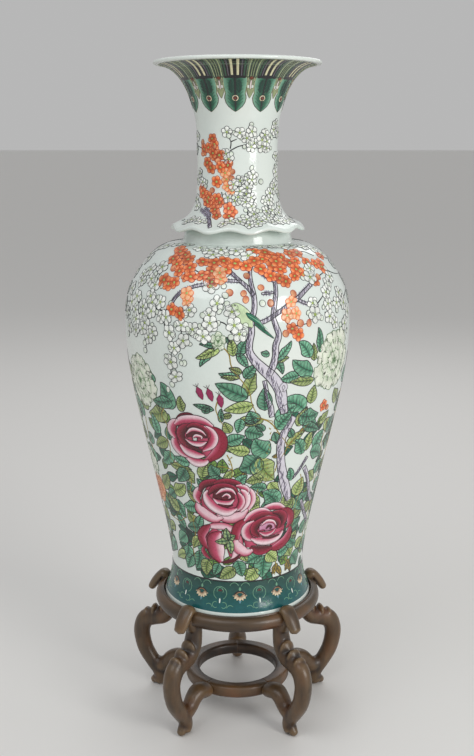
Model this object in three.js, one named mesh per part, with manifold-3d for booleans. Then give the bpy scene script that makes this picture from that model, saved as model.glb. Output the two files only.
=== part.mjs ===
// Porcelain floor vase standing in a five-legged carved hardwood stand.
// Millimetres, +Z up. The origin is on the floor, on the vase's axis, and the
// front is towards -Y: two legs face the front and the fifth leg is at the back.

import * as THREE from 'three';
import { mergeVertices } from 'three/addons/utils/BufferGeometryUtils.js';
import Module from 'manifold-3d';

const wasm = await Module();
wasm.setup();

// ---------------------------------------------------------------- driving dimensions

const GAP = 0.3; // clearance between pieces that touch
const LEG_COUNT = 5;
const LEG_PITCH = 360 / LEG_COUNT;

// vase
const VASE_HEIGHT = 920;
const SEAT_HEIGHT = 219; // underside of the vase's foot above the floor
const RIM_HEIGHT = SEAT_HEIGHT + VASE_HEIGHT;
const BODY_WALL = 9;
const NECK_WALL = 7;
const INNER_STEP = 2; // the inner surface keeps one point in this many of the outer one's
const LIP_THICKNESS = 5.4;
const FOOT_JOINT = 304; // heights of the luted joints between the vase's sections
const BELLY_JOINT = 570;
const SHOULDER_JOINT = 738;
const NECK_JOINT = 848;
const MOUTH_JOINT = 1045;
const FLOOR_BOTTOM = 232;
const FLOOR_THICKNESS = 10;
const FLOOR_RADIUS = 105;
const FOOT_LEDGE_RADIUS = 96;
const VASE_SEGMENTS = 36;

// ruffled collar
const LOBE_COUNT = 10;
const LOBE_LOW_ANGLE = 11; // a low point of the edge, in degrees from the front towards +X
const LOBE_DROP = 3;
const LOBE_REACH = 1.8;
const COLLAR_MEETS_NECK = [885, 922]; // heights between which the collar is luted to the neck
const COLLAR_SEGMENTS = 50;

// top ring of the stand
const APRON_RADIUS = 148;
const APRON_BOTTOM = 198;
const APRON_TOP = 224;
const APRON_INNER = 112;
const BOARD_THICKNESS = 10;
const LIP_INNER = 133.3; // the raised lip that keeps the vase's foot in place
const LIP_OUTER = 136.5;
const LIP_TOP = 224.5;
const RING_SEGMENTS = 40;

// lower ring
const LOWER_INNER = 70;
const LOWER_OUTER = 95;
const LOWER_BOTTOM = 47;
const LOWER_TOP = 69;
const LOWER_EDGE = 6; // chamfer that stands for the rounded edges

// legs
const LEG_WIDTH = 29;
const LEG_ROUNDING = 7;
const HEAD_WIDTH = 22;
const HEAD_ROUNDING = 5;

// dowels, in pairs, one in the end of each ring segment
const DOWEL_RADIUS = 3;
const DOWEL_SPREAD = 7; // half of the distance between the two dowels of a pair
const DOWEL_SIDES = 8;
const APRON_DOWEL_AT = 126; // distance of the upright dowels from the axis
const APRON_DOWEL_BOTTOM = 182;
const APRON_DOWEL_TOP = 205;
const RING_DOWEL_INNER = 82;
const RING_DOWEL_OUTER = 112;
const RING_DOWEL_HEIGHT = 58;

// ---------------------------------------------------------------- finishes

const porcelain = () => new THREE.MeshStandardMaterial({ color: 0xdfe6dc, roughness: 0.12, metalness: 0 });
const hardwood = () => new THREE.MeshStandardMaterial({ color: 0x4a2f1c, roughness: 0.45, metalness: 0 });
const dowelWood = () => new THREE.MeshStandardMaterial({ color: 0xa07a4c, roughness: 0.7, metalness: 0 });

// ---------------------------------------------------------------- solids

const radians = THREE.MathUtils.degToRad;

/** A closed geometry as a manifold-3d solid. */
function toSolid(geometry) {
  const bare = geometry.clone();
  for (const name of Object.keys(bare.attributes)) {
    if (name !== 'position') bare.deleteAttribute(name);
  }
  const merged = mergeVertices(bare, 1e-3);
  return new wasm.Manifold(
    new wasm.Mesh({
      numProp: 3,
      vertProperties: new Float32Array(merged.attributes.position.array),
      triVerts: new Uint32Array(merged.index.array),
    }),
  );
}

/** A manifold-3d solid as a geometry for a mesh. */
function toGeometry(solid) {
  const mesh = solid.getMesh();
  const geometry = new THREE.BufferGeometry();
  geometry.setAttribute('position', new THREE.BufferAttribute(new Float32Array(mesh.vertProperties), 3));
  geometry.setIndex(new THREE.BufferAttribute(new Uint32Array(mesh.triVerts), 1));
  geometry.computeVertexNormals();
  return geometry;
}

/** Turns a closed outline of [radius, height] points round the Z axis. Its outer side runs upwards. */
function turned(outline, segments) {
  const points = outline.map(([radius, height]) => new THREE.Vector2(radius, height));
  const onAxis = points[0].x === 0;
  if (!onAxis) points.push(points[0].clone());
  return new THREE.LatheGeometry(points, segments).rotateX(Math.PI / 2);
}

/** Cuts a [radius, height] shape from a board that stands on the +X axis, with rounded edges. */
function carved(shape, width, rounding) {
  const geometry = new THREE.ExtrudeGeometry(shape, {
    depth: width - 2 * rounding,
    bevelThickness: rounding,
    bevelSize: rounding,
    bevelOffset: -rounding,
    bevelSegments: 1,
    curveSegments: 3,
  });
  return geometry.translate(0, 0, rounding - width / 2).rotateX(Math.PI / 2);
}

/** Points along a smooth curve through [radius, height] points. */
function smooth(points, steps) {
  const curve = new THREE.SplineCurve(points.map(([radius, height]) => new THREE.Vector2(radius, height)));
  return curve.getPoints(steps).map((p) => [p.x, p.y]);
}

// ---------------------------------------------------------------- vase

// Outer outlines, from the bottom up, as [radius, height].
const FOOT_OUTLINE = [[131, 219], [129.5, 226], [124.5, 240], [119.5, 257], [117.2, 280], [118.6, FOOT_JOINT]];
const BELLY_OUTLINE = [[118.6, FOOT_JOINT], [125.5, 348], [135, 393], [144.5, 438], [154.5, 482], [164.5, 526],
  [174, BELLY_JOINT]];
const UPPER_BELLY_OUTLINE = [[174, BELLY_JOINT], [182.5, 613], [188.8, 657], [192, 700], [190.6, SHOULDER_JOINT]];
const SHOULDER_OUTLINE = [[190.6, SHOULDER_JOINT], [184.4, 769], [173.5, 792], [159, 813], [142, 831],
  [121, 843.5], [96, NECK_JOINT]];
const NECK_OUTLINE = [[92, NECK_JOINT], [91, 855], [87.5, 866], [79, 878], [72.3, 890], [68.8, 905], [67.5, 925],
  [67, 970], [67, 1010], [69.5, MOUTH_JOINT]];
const MOUTH_OUTLINE = [[69.5, MOUTH_JOINT], [74.5, 1067], [79.5, 1083], [85, 1096.5], [92.5, 1109], [101, 1119],
  [110, 1126.2], [119, 1130.6], [127, 1132.8], [134, RIM_HEIGHT - LIP_THICKNESS]];

/** The same outline moved inwards by a wall thickness, along its own normal. */
function offsetInwards(outline, wall) {
  return outline.map(([radius, height], i) => {
    const [r0, h0] = outline[Math.max(i - 1, 0)];
    const [r1, h1] = outline[Math.min(i + 1, outline.length - 1)];
    const length = Math.hypot(r1 - r0, h1 - h0);
    return [radius - (wall * (h1 - h0)) / length, height + (wall * (r1 - r0)) / length];
  });
}

/** One thrown section: its outer surface going up and its inner surface coming down, with flat ends. */
function thrownSection(outer, wall) {
  const inner = offsetInwards(outer, wall);
  const bottom = outer[0][1];
  const top = outer[outer.length - 1][1];
  const inside = inner.filter(([, height], i) =>
    i % INNER_STEP === 0 && height > bottom + 1 && height < top - 1);
  const innerBottom = [inner[0][0], bottom];
  const innerTop = [inner[inner.length - 1][0], top];
  return [...outer, innerTop, ...inside.reverse(), innerBottom];
}

/** Keeps the section clear of the one above it. */
const shortened = (outline) => outline.map(([radius, height], i) =>
  (i === outline.length - 1 ? [radius, height - GAP] : [radius, height]));

function footSection() {
  const outer = smooth(shortened(FOOT_OUTLINE), 7);
  const [topRadius, top] = outer[outer.length - 1];
  return [
    ...outer,
    [topRadius - BODY_WALL, top],
    [117.2 - BODY_WALL, 280],
    [FLOOR_RADIUS + GAP, FLOOR_BOTTOM + FLOOR_THICKNESS],
    [FLOOR_RADIUS + GAP, FLOOR_BOTTOM - GAP],
    [FOOT_LEDGE_RADIUS, FLOOR_BOTTOM - GAP],
    [FOOT_LEDGE_RADIUS + 2, FLOOR_BOTTOM - 6],
    [118, SEAT_HEIGHT + 3],
    [121, SEAT_HEIGHT],
  ];
}

function vaseFloor() {
  const top = FLOOR_BOTTOM + FLOOR_THICKNESS;
  return [[0, FLOOR_BOTTOM], [FLOOR_RADIUS, FLOOR_BOTTOM], [FLOOR_RADIUS, top], [0, top]];
}

const neckSurface = () => smooth(shortened(NECK_OUTLINE), 13);

function mouthSection() {
  const under = smooth(MOUTH_OUTLINE, 10);
  const lip = [
    [137.2, RIM_HEIGHT - LIP_THICKNESS + 0.8],
    [138.4, RIM_HEIGHT - LIP_THICKNESS / 2],
    [137, RIM_HEIGHT - 0.6],
    [134, RIM_HEIGHT],
  ];
  const inside = offsetInwards(under, NECK_WALL)
    .filter(([, height], i) => i % INNER_STEP === 0 && height > MOUTH_JOINT + 1 && height < RIM_HEIGHT - 3)
    .reverse();
  return [...under, ...lip, [126, RIM_HEIGHT - 0.6], ...inside, [69.5 - NECK_WALL, MOUTH_JOINT]];
}

/** The collar is turned first, then its edge is pulled down and out into lobes. */
function collarGeometry() {
  const againstNeck = offsetInwards(neckSurface(), -GAP)
    .filter(([, height]) => height > COLLAR_MEETS_NECK[0] && height < COLLAR_MEETS_NECK[1])
    .reverse();
  const underside = [[83, 881], [94, 875], [105.5, 869.8]];
  const roll = [[108.8, 869.4], [110.6, 871.4], [110.2, 874.4], [107.5, 876.6]];
  const top = [[98, 882.5], [87.5, 887.5], [79.5, 895.5], [74, 905], [71, 915]];
  const outline = [...againstNeck, ...underside, ...roll, ...top];
  const geometry = turned(outline, COLLAR_SEGMENTS);
  const position = geometry.attributes.position;
  const p = new THREE.Vector3();
  for (let i = 0; i < position.count; i += 1) {
    p.fromBufferAttribute(position, i);
    const radius = Math.hypot(p.x, p.y);
    const angle = Math.atan2(p.x, -p.y); // from the front towards +X
    const share = THREE.MathUtils.clamp((radius - 80) / 30, 0, 1) ** 1.5;
    const wave = Math.cos(LOBE_COUNT * (angle - radians(LOBE_LOW_ANGLE)));
    const stretched = (radius + LOBE_REACH * share * wave) / radius;
    position.setXYZ(i, p.x * stretched, p.y * stretched, p.z - LOBE_DROP * share * wave);
  }
  return geometry;
}

// ---------------------------------------------------------------- stand: rings and board

/** Half-round top ring with a rabbet for the board and a raised lip, grown by a margin all round. */
function apronOutline(margin = 0) {
  const middle = (APRON_BOTTOM + APRON_TOP) / 2;
  const halfHeight = (APRON_TOP - APRON_BOTTOM) / 2 + margin;
  const bulge = 10 + margin;
  const roundFrom = APRON_RADIUS - 10;
  const rabbet = SEAT_HEIGHT - GAP - BOARD_THICKNESS - GAP;
  const halfRound = [];
  for (const turn of [-90, -60, -30, 0, 30, 60, 90]) {
    halfRound.push([
      roundFrom + bulge * Math.cos(radians(turn)),
      middle + halfHeight * Math.sin(radians(turn)),
    ]);
  }
  return [
    [APRON_INNER - margin, APRON_BOTTOM - margin],
    ...halfRound,
    [LIP_OUTER + margin, LIP_TOP + margin],
    [LIP_INNER - margin, LIP_TOP + margin],
    [LIP_INNER - margin, rabbet + margin],
    [APRON_INNER - margin, rabbet + margin],
  ];
}

function lowerRingOutline() {
  return [
    [LOWER_INNER, LOWER_BOTTOM + LOWER_EDGE / 2],
    [LOWER_INNER + LOWER_EDGE, LOWER_BOTTOM],
    [LOWER_OUTER - LOWER_EDGE, LOWER_BOTTOM],
    [LOWER_OUTER, LOWER_BOTTOM + LOWER_EDGE],
    [LOWER_OUTER, LOWER_TOP - LOWER_EDGE],
    [LOWER_OUTER - LOWER_EDGE, LOWER_TOP],
    [LOWER_INNER + LOWER_EDGE, LOWER_TOP],
    [LOWER_INNER, LOWER_TOP - LOWER_EDGE / 2],
  ];
}

/** A wedge that runs from one leg's middle plane to the next, from +X anticlockwise. */
function segmentWedge() {
  const reach = 2 * APRON_RADIUS;
  const back = GAP / 2 / Math.sin(radians(LEG_PITCH / 2));
  const middle = radians(LEG_PITCH / 2);
  const tip = new THREE.Vector2(back * Math.cos(middle), back * Math.sin(middle));
  const wedge = new THREE.Shape([
    tip,
    new THREE.Vector2(tip.x + reach, tip.y),
    new THREE.Vector2(tip.x + reach, tip.y + reach),
    new THREE.Vector2(tip.x + reach * Math.cos(2 * middle), tip.y + reach * Math.sin(2 * middle)),
  ]);
  return toSolid(new THREE.ExtrudeGeometry(wedge, { depth: 2 * SEAT_HEIGHT, bevelEnabled: false }));
}

/** A dowel standing on the XY plane at the origin. */
function dowelGeometry(length, margin = 0) {
  const geometry = new THREE.CylinderGeometry(
    DOWEL_RADIUS + margin, DOWEL_RADIUS + margin, length + 2 * margin, DOWEL_SIDES,
  );
  return geometry.rotateX(Math.PI / 2).translate(0, 0, length / 2);
}

/** Upright dowel between a leg's neck and the top ring, for the leg on +X. side is -1 or 1. */
function apronDowel(side, margin = 0) {
  return dowelGeometry(APRON_DOWEL_TOP - APRON_DOWEL_BOTTOM, margin)
    .translate(APRON_DOWEL_AT, side * DOWEL_SPREAD, APRON_DOWEL_BOTTOM);
}

/** Level dowel between a leg's spur and the lower ring, for the leg on +X. */
function ringDowel(side, margin = 0) {
  return dowelGeometry(RING_DOWEL_OUTER - RING_DOWEL_INNER, margin)
    .rotateY(Math.PI / 2)
    .translate(RING_DOWEL_INNER, side * DOWEL_SPREAD, RING_DOWEL_HEIGHT);
}

/** One ring segment from the leg on +X to the next leg, with a dowel hole in each end. */
function ringSegment(outline, dowel) {
  const start = toSolid(dowel(1, GAP));
  const end = toSolid(dowel(-1, GAP)).rotate([0, 0, LEG_PITCH]);
  return toSolid(turned(outline, RING_SEGMENTS)).intersect(segmentWedge()).subtract(start).subtract(end);
}

// ---------------------------------------------------------------- stand: legs

/** The leg's side view below its head: neck, knuckles, outer bow, foot and inner spur. */
function legShape() {
  const shape = new THREE.Shape();
  shape.moveTo(112, 197);
  shape.bezierCurveTo(112, 170, 110, 150, 118, 134); // inside of the neck
  shape.bezierCurveTo(124, 122, 136, 121, 148, 121); // bulge under the neck
  shape.lineTo(165, 121);
  shape.bezierCurveTo(174, 120, 176, 112, 175, 100); // inside of the bow
  shape.bezierCurveTo(174, 84, 166, 70, 150, 54);
  shape.bezierCurveTo(140, 58, 136, 66, 126, 72); // top of the spur
  shape.bezierCurveTo(116, 77, 106, 74, LOWER_OUTER + GAP, 71);
  shape.lineTo(LOWER_OUTER + GAP, 46);
  shape.bezierCurveTo(112, 44, 128, 34, 140, 14); // underside of the spur
  shape.bezierCurveTo(144, 8, 146, 4, 148, 0);
  shape.lineTo(166, 0);
  shape.bezierCurveTo(174, 1, 177, 8, 172, 16); // toe
  shape.bezierCurveTo(168, 22, 170, 29, 176, 35);
  shape.bezierCurveTo(196, 52, 204, 78, 204, 106); // outside of the bow
  shape.bezierCurveTo(204, 126, 201, 144, 190, 154);
  shape.bezierCurveTo(184, 160, 178, 158, 174, 159); // knuckles
  shape.bezierCurveTo(168, 166, 160, 163, 157, 163);
  shape.bezierCurveTo(152, 172, 148, 172, 146, 180);
  shape.bezierCurveTo(145, 188, 148, 194, 152, 200); // throat under the head
  shape.lineTo(140, 215);
  shape.lineTo(120, 215);
  return shape;
}

/** The beaked head that hooks over the top ring. */
function headShape() {
  const shape = new THREE.Shape();
  shape.moveTo(132.5, 219);
  shape.bezierCurveTo(132, 226, 134, 233, 141, 233.5);
  shape.bezierCurveTo(152, 232, 166, 212, 176, 200);
  shape.bezierCurveTo(179, 195, 175, 190, 169, 190);
  shape.bezierCurveTo(162, 190, 158, 193, 152, 193);
  shape.lineTo(140, 190);
  return shape;
}

function legSolid() {
  const body = toSolid(carved(legShape(), LEG_WIDTH, LEG_ROUNDING));
  const head = toSolid(carved(headShape(), HEAD_WIDTH, HEAD_ROUNDING));
  const ring = toSolid(turned(apronOutline(GAP), RING_SEGMENTS));
  const pocketHeight = LIP_TOP - APRON_BOTTOM + 2 * GAP;
  const pocket = new THREE.CylinderGeometry(LIP_INNER + 1, LIP_INNER + 1, pocketHeight, RING_SEGMENTS)
    .rotateX(Math.PI / 2)
    .translate(0, 0, (LIP_TOP + APRON_BOTTOM) / 2);
  let leg = body.add(head).subtract(ring).subtract(toSolid(pocket));
  for (const side of [-1, 1]) {
    leg = leg.subtract(toSolid(apronDowel(side, GAP))).subtract(toSolid(ringDowel(side, GAP)));
  }
  return leg;
}

// ---------------------------------------------------------------- assembly

const assembly = new THREE.Group();

function addTo(group, name, geometry, material) {
  const mesh = new THREE.Mesh(geometry, material);
  mesh.name = name;
  group.add(mesh);
  return mesh;
}

const vase = new THREE.Group();
assembly.add(vase);
addTo(vase, 'vase_foot', turned(footSection(), VASE_SEGMENTS), porcelain());
addTo(vase, 'vase_floor', turned(vaseFloor(), VASE_SEGMENTS), porcelain());
const WALL_STEPS = { vase_belly: 6, vase_upper_belly: 4, vase_shoulder: 8 };
const WALL_OUTLINES = {
  vase_belly: BELLY_OUTLINE,
  vase_upper_belly: UPPER_BELLY_OUTLINE,
  vase_shoulder: SHOULDER_OUTLINE,
};
for (const [name, outline] of Object.entries(WALL_OUTLINES)) {
  const outer = smooth(shortened(outline), WALL_STEPS[name]);
  addTo(vase, name, turned(thrownSection(outer, BODY_WALL), VASE_SEGMENTS), porcelain());
}
addTo(vase, 'vase_neck', turned(thrownSection(neckSurface(), NECK_WALL), VASE_SEGMENTS), porcelain());
addTo(vase, 'vase_mouth', turned(mouthSection(), VASE_SEGMENTS), porcelain());
addTo(vase, 'vase_collar', collarGeometry(), porcelain());

const stand = new THREE.Group();
assembly.add(stand);
const boardTop = SEAT_HEIGHT - GAP;
const boardRadius = LIP_INNER - GAP;
addTo(stand, 'seat_board', turned(
  [[0, boardTop - BOARD_THICKNESS], [boardRadius, boardTop - BOARD_THICKNESS], [boardRadius, boardTop], [0, boardTop]],
  RING_SEGMENTS,
), hardwood());

const leg = toGeometry(legSolid());
const apron = toGeometry(ringSegment(apronOutline(), apronDowel));
const lowerRing = toGeometry(ringSegment(lowerRingOutline(), ringDowel));
for (let i = 0; i < LEG_COUNT; i += 1) {
  const number = i + 1;
  const bay = new THREE.Group();
  bay.rotation.z = radians(-90 + LEG_PITCH / 2 + i * LEG_PITCH); // leg 1 is at the front, on the right
  stand.add(bay);
  addTo(bay, `leg_${number}`, leg, hardwood());
  addTo(bay, `apron_${number}`, apron, hardwood());
  addTo(bay, `lower_ring_${number}`, lowerRing, hardwood());
  for (const [letter, side] of [['a', -1], ['b', 1]]) {
    addTo(bay, `apron_dowel_${number}${letter}`, apronDowel(side), dowelWood());
    addTo(bay, `ring_dowel_${number}${letter}`, ringDowel(side), dowelWood());
  }
}

export default assembly;
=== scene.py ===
# %% [markdown]
# # A painted porcelain floor vase on its carved stand
#
# The real object is two things that live together: a tall vase, thrown in sections, glazed
# pale celadon white and painted over the glaze with raised enamels, and a five-legged stand
# carved from dark hardwood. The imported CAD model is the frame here. It says where every piece
# is and how it moves, and this notebook gives each piece its real surface.

import bpy
import numpy as np
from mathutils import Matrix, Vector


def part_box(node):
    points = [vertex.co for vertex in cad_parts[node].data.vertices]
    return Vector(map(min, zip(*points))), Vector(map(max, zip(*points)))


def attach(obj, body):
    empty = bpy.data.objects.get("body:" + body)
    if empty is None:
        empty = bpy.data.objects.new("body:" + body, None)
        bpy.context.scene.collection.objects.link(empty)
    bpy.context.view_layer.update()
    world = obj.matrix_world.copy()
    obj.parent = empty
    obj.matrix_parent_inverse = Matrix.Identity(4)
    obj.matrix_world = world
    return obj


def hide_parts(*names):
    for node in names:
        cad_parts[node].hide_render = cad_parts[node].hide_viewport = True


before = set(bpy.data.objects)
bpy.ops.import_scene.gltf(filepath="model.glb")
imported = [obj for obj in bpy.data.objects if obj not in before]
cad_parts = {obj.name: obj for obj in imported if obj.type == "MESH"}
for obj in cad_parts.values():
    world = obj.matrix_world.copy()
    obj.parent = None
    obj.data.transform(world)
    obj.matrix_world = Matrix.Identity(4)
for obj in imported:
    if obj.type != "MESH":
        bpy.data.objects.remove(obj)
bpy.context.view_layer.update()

MM = 0.001

# %% [markdown]
# ## The view
#
# A portrait lens about five feet from the vase, a little below its mouth and tilted down, sees
# the underside of the mouth and the top of the foot at the same time. The floor is a plain
# pale sheet, and three soft boxes stand in for a window and a bright room.

# %% Camera
CAMERA_PLACE = (-0.0008, -1.762, 1.006)
CAMERA_TILT = np.radians(90 - 12.68)
LENS = 49.33


def add_camera():
    camera = bpy.data.objects.new("camera", bpy.data.cameras.new("camera"))
    camera.data.lens = LENS
    camera.location = CAMERA_PLACE
    camera.rotation_euler = (CAMERA_TILT, 0, 0)
    bpy.context.collection.objects.link(camera)
    bpy.context.scene.camera = camera


add_camera()
print("camera at", CAMERA_PLACE, "metres, lens", LENS, "mm")

# %% Floor
FLOOR_HALF = 200
FLOOR_COLOUR, FLOOR_ROUGHNESS = (0.78, 0.77, 0.75, 1), 0.6


def add_floor():
    """One square sheet on the ground, so wide that its edge lies at the horizon."""
    mesh = bpy.data.meshes.new("floor")
    corners = [(x * FLOOR_HALF, y * FLOOR_HALF, 0) for x, y in ((-1, -1), (1, -1), (1, 1), (-1, 1))]
    mesh.from_pydata(corners, [], [(0, 1, 2, 3)])
    floor = bpy.data.objects.new("floor", mesh)
    material = bpy.data.materials.new("pale floor")
    material.use_nodes = True
    shader = material.node_tree.nodes["Principled BSDF"]
    shader.inputs["Base Color"].default_value = FLOOR_COLOUR
    shader.inputs["Roughness"].default_value = FLOOR_ROUGHNESS
    mesh.materials.append(material)
    bpy.context.collection.objects.link(floor)


add_floor()
print("floor", 2 * FLOOR_HALF, "metres wide")

# %% Light
LAMPS_FACE = (0, 0, 0.6)
ROOM_COLOUR, ROOM_STRENGTH = (0.95, 0.95, 0.95, 1), 0.5


def add_room_light():
    world = bpy.data.worlds.new("pale room")
    world.use_nodes = True
    sky = world.node_tree.nodes["Background"]
    sky.inputs["Color"].default_value = ROOM_COLOUR
    sky.inputs["Strength"].default_value = ROOM_STRENGTH
    bpy.context.scene.world = world


def add_soft_box(name, azimuth, elevation, distance, size, power, colour=(1, 1, 1)):
    """A rectangular lamp that faces the middle of the vase. Azimuth 0 is the front, 90 is +X."""
    lamp = bpy.data.lights.new(name, "AREA")
    lamp.shape, lamp.size, lamp.size_y = "RECTANGLE", *size
    lamp.energy, lamp.color = power, colour
    box = bpy.data.objects.new(name, lamp)
    a, e = np.radians(azimuth), np.radians(elevation)
    away = np.array([np.sin(a) * np.cos(e), -np.cos(a) * np.cos(e), np.sin(e)])
    box.location = away * distance + LAMPS_FACE
    box.rotation_euler = (np.pi / 2 - e, 0, a)
    bpy.context.collection.objects.link(box)
    print(name, "at", box.location[:])


add_room_light()
add_soft_box("window", azimuth=44, elevation=19, distance=4.0, size=(1.4, 2.1), power=66, colour=(1, 0.99, 0.97))
add_soft_box("sky light", azimuth=-35, elevation=50, distance=3.2, size=(2.4, 1.8), power=26, colour=(0.95, 0.97, 1))
add_soft_box("back wall", azimuth=170, elevation=35, distance=3.4, size=(2.4, 1.6), power=18)
bpy.context.scene.view_settings.view_transform = "Standard"

# %% [markdown]
# ## Shader arithmetic
#
# A finish mixes patterns with sums and products. Written as nodes they fill a page, so one
# small class wraps a socket and lets plain Python operators add the Math nodes.


# %% Finishes
class Value:
    """A number that varies over a surface. Arithmetic on it adds Math nodes to its finish."""

    def __init__(self, finish, socket):
        self.finish, self.socket = finish, socket

    def __add__(self, other):
        return self.finish.math("ADD", self, other)

    def __sub__(self, other):
        return self.finish.math("SUBTRACT", self, other)

    def __rsub__(self, other):
        return self.finish.math("SUBTRACT", other, self)

    def __mul__(self, other):
        return self.finish.math("MULTIPLY", self, other)

    __radd__, __rmul__ = __add__, __mul__


class Finish:
    """A material being made: its node tree and the sockets of its Principled BSDF."""

    def __init__(self, name, fixed):
        self.material = bpy.data.materials.new(name)
        self.material.use_nodes = True
        self.tree = self.material.node_tree
        self.shader = self.tree.nodes["Principled BSDF"]
        for socket, value in fixed.items():
            self.shader.inputs[socket].default_value = value

    def node(self, kind, settings=(), inputs=(), output=0):
        """Adds a node, makes its settings, then fills its sockets with values or links."""
        node = self.tree.nodes.new("ShaderNode" + kind)
        for name, value in dict(settings).items():
            setattr(node, name, value)
        for name, value in dict(inputs).items():
            if isinstance(value, Value):
                self.tree.links.new(value.socket, node.inputs[name])
            else:
                node.inputs[name].default_value = value
        return Value(self, node.outputs[output])

    def math(self, operation, *terms):
        return self.node("Math", {"operation": operation}, enumerate(terms))

    def drive(self, socket, value):
        self.tree.links.new(value.socket, self.shader.inputs[socket])

    def coordinates(self):
        return self.node("TexCoord", output="Object")

    def attribute(self, name, output="Color"):
        return self.node("Attribute", {"attribute_name": name}, output=output)

    def noise(self, place, scale, detail=3, roughness=0.5):
        inputs = {"Vector": place, "Scale": scale, "Detail": detail, "Roughness": roughness}
        return self.node("TexNoise", inputs=inputs)

    def steps(self, value, low, high):
        """0 below low, 1 above high, and smooth between."""
        inputs = {"Value": value, "From Min": low, "From Max": high}
        return self.node("MapRange", {"interpolation_type": "SMOOTHSTEP"}, inputs)

    def stretched(self, place, scale):
        return self.node("Mapping", inputs={"Vector": place, "Scale": scale})

    def mix(self, share, a, b, blend="MIX"):
        """A colour that is a where share is 0 and b where it is 1. A colour mix has its two
        colours on sockets 6 and 7, and its result on output 2."""
        colours = {6: a if isinstance(a, Value) else (*a, 1), 7: b if isinstance(b, Value) else (*b, 1)}
        settings = {"data_type": "RGBA", "blend_type": blend}
        return self.node("Mix", settings, {0: share, **colours}, output=2)

    def bump(self, height, distance):
        inputs = {"Height": height, "Distance": distance, "Strength": 1.0}
        self.drive("Normal", self.node("Bump", inputs=inputs))


# %% [markdown]
# ## Surfaces from arrays
#
# Everything here is a grid of points worked out with numpy. A turned shape is an outline swept
# round the axis, a carved limb is a section carried along a path, and a brush stroke is a
# strip laid on the glaze. The helpers below turn such arrays into meshes.


# %% Arrays to meshes
def smooth_curve(points, steps=8):
    """A Catmull-Rom curve: each stretch is the cubic that passes its two end points in the
    direction of their neighbours. It has this many steps for every stretch."""
    p = np.asarray(points, float)
    p = np.vstack([2 * p[0] - p[1], p, 2 * p[-1] - p[-2]])
    t = np.linspace(0, 1, steps, endpoint=False)[:, None]
    a, b, c, d = (p[i : len(p) - 3 + i, None] for i in range(4))
    curve = b + t * (c - a) / 2 + t**2 * (2 * a - 5 * b + 4 * c - d) / 2 + t**3 * (3 * b - a - 3 * c + d) / 2
    return np.vstack([curve.reshape(-1, p.shape[1]), p[-2]])


def evenly(curve, count):
    """The same curve with this many points at equal distances along it."""
    walked = np.r_[0, np.cumsum(np.linalg.norm(np.diff(curve, axis=0), axis=1))]
    where = np.linspace(0, walked[-1], count)
    return np.stack([np.interp(where, walked, column) for column in curve.T], axis=1)


def grid_faces(rows, columns, wrap_rows=False, wrap_columns=False):
    """The quads of a grid of points that is stored row after row. A wrapped direction joins
    its end to its start."""
    r, c = np.meshgrid(
        np.arange(rows if wrap_rows else rows - 1),
        np.arange(columns if wrap_columns else columns - 1),
        indexing="ij",
    )
    r, c = r.ravel(), c.ravel()
    r1, c1 = (r + 1) % rows, (c + 1) % columns
    return np.stack([r * columns + c, r * columns + c1, r1 * columns + c1, r1 * columns + c], axis=1)


def new_mesh(name, points, face_groups, attributes=()):
    """A mesh from points in metres and arrays of equal-sided faces, with point attributes."""
    mesh = bpy.data.meshes.new(name)
    corners = np.concatenate([group.ravel() for group in face_groups])
    sides = np.concatenate([np.full(len(group), group.shape[1]) for group in face_groups])
    mesh.vertices.add(len(points))
    mesh.vertices.foreach_set("co", np.asarray(points, np.float32).ravel())
    mesh.loops.add(len(corners))
    mesh.loops.foreach_set("vertex_index", corners.astype(np.int32))
    mesh.polygons.add(len(sides))
    mesh.polygons.foreach_set("loop_start", np.r_[0, np.cumsum(sides)[:-1]].astype(np.int32))
    mesh.update(calc_edges=True)
    mesh.polygons.foreach_set("use_smooth", np.ones(len(sides), bool))
    for label, values in dict(attributes).items():
        kind, key = ("FLOAT_VECTOR", "vector") if values.shape[1] == 3 else ("FLOAT_COLOR", "color")
        mesh.attributes.new(label, kind, "POINT").data.foreach_set(key, values.astype(np.float32).ravel())
    return mesh


def new_piece(mesh, finish, body, nodes=()):
    """Shows a mesh as a piece that rides on a body and stands for these CAD nodes."""
    piece = bpy.data.objects.new(mesh.name, mesh)
    mesh.materials.append(finish)
    bpy.context.collection.objects.link(piece)
    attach(piece, body)
    if nodes:
        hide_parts(*nodes)
    print(f"{mesh.name}: {len(mesh.vertices)} points, {len(mesh.polygons)} faces")


# %% [markdown]
# ## The vase's outline
#
# A potter's profile is one line from the foot to the lip. The outline is kept as radius and
# height in millimetres, and a surface made from it can place anything by its angle round the
# vase, its distance along the outline and its lift above the glaze. The painting needs that.

# %% Outlines
SEAT_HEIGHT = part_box("vase_foot")[0].z / MM
RIM_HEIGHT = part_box("vase_mouth")[1].z / MM
BODY_OUTLINE = [
    (131, SEAT_HEIGHT + 1.6), (129.5, 226), (124.5, 240), (119.5, 257), (117.2, 280), (118.6, 304),
    (125.5, 348), (135, 393), (144.5, 438), (154.5, 482), (164.5, 526), (174, 570), (182.5, 613),
    (188.8, 657), (192, 700), (190.6, 738), (184.4, 769), (173.5, 792), (159, 813), (142, 831),
    (121, 843.5), (98, 847.6),
]
UNDER_COLLAR_OUTLINE = [
    (93.5, 846.8), (91.8, 849.5), (91, 855), (87.5, 866), (79, 878), (72.3, 890), (68.8, 905), (67.7, 920),
]
NECK_OUTLINE = [
    (67.9, 934), (67, 960), (66.9, 985), (67, 1010), (69.5, 1045), (74.5, 1067), (79.5, 1083),
    (85, 1096.5), (92.5, 1109), (101, 1119), (110, 1126.2), (119, 1130.6), (127, 1132.8), (134, 1133.6),
]
COLLAR_TOP_OUTLINE = [
    (108.5, 876.2), (98, 881.8), (88, 887.3), (80.5, 894.3), (75.3, 902.5), (71.8, 912), (69.4, 922), (68.2, 932),
]
COLLAR_MEETS_NECK = (68.4, 931)
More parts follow.
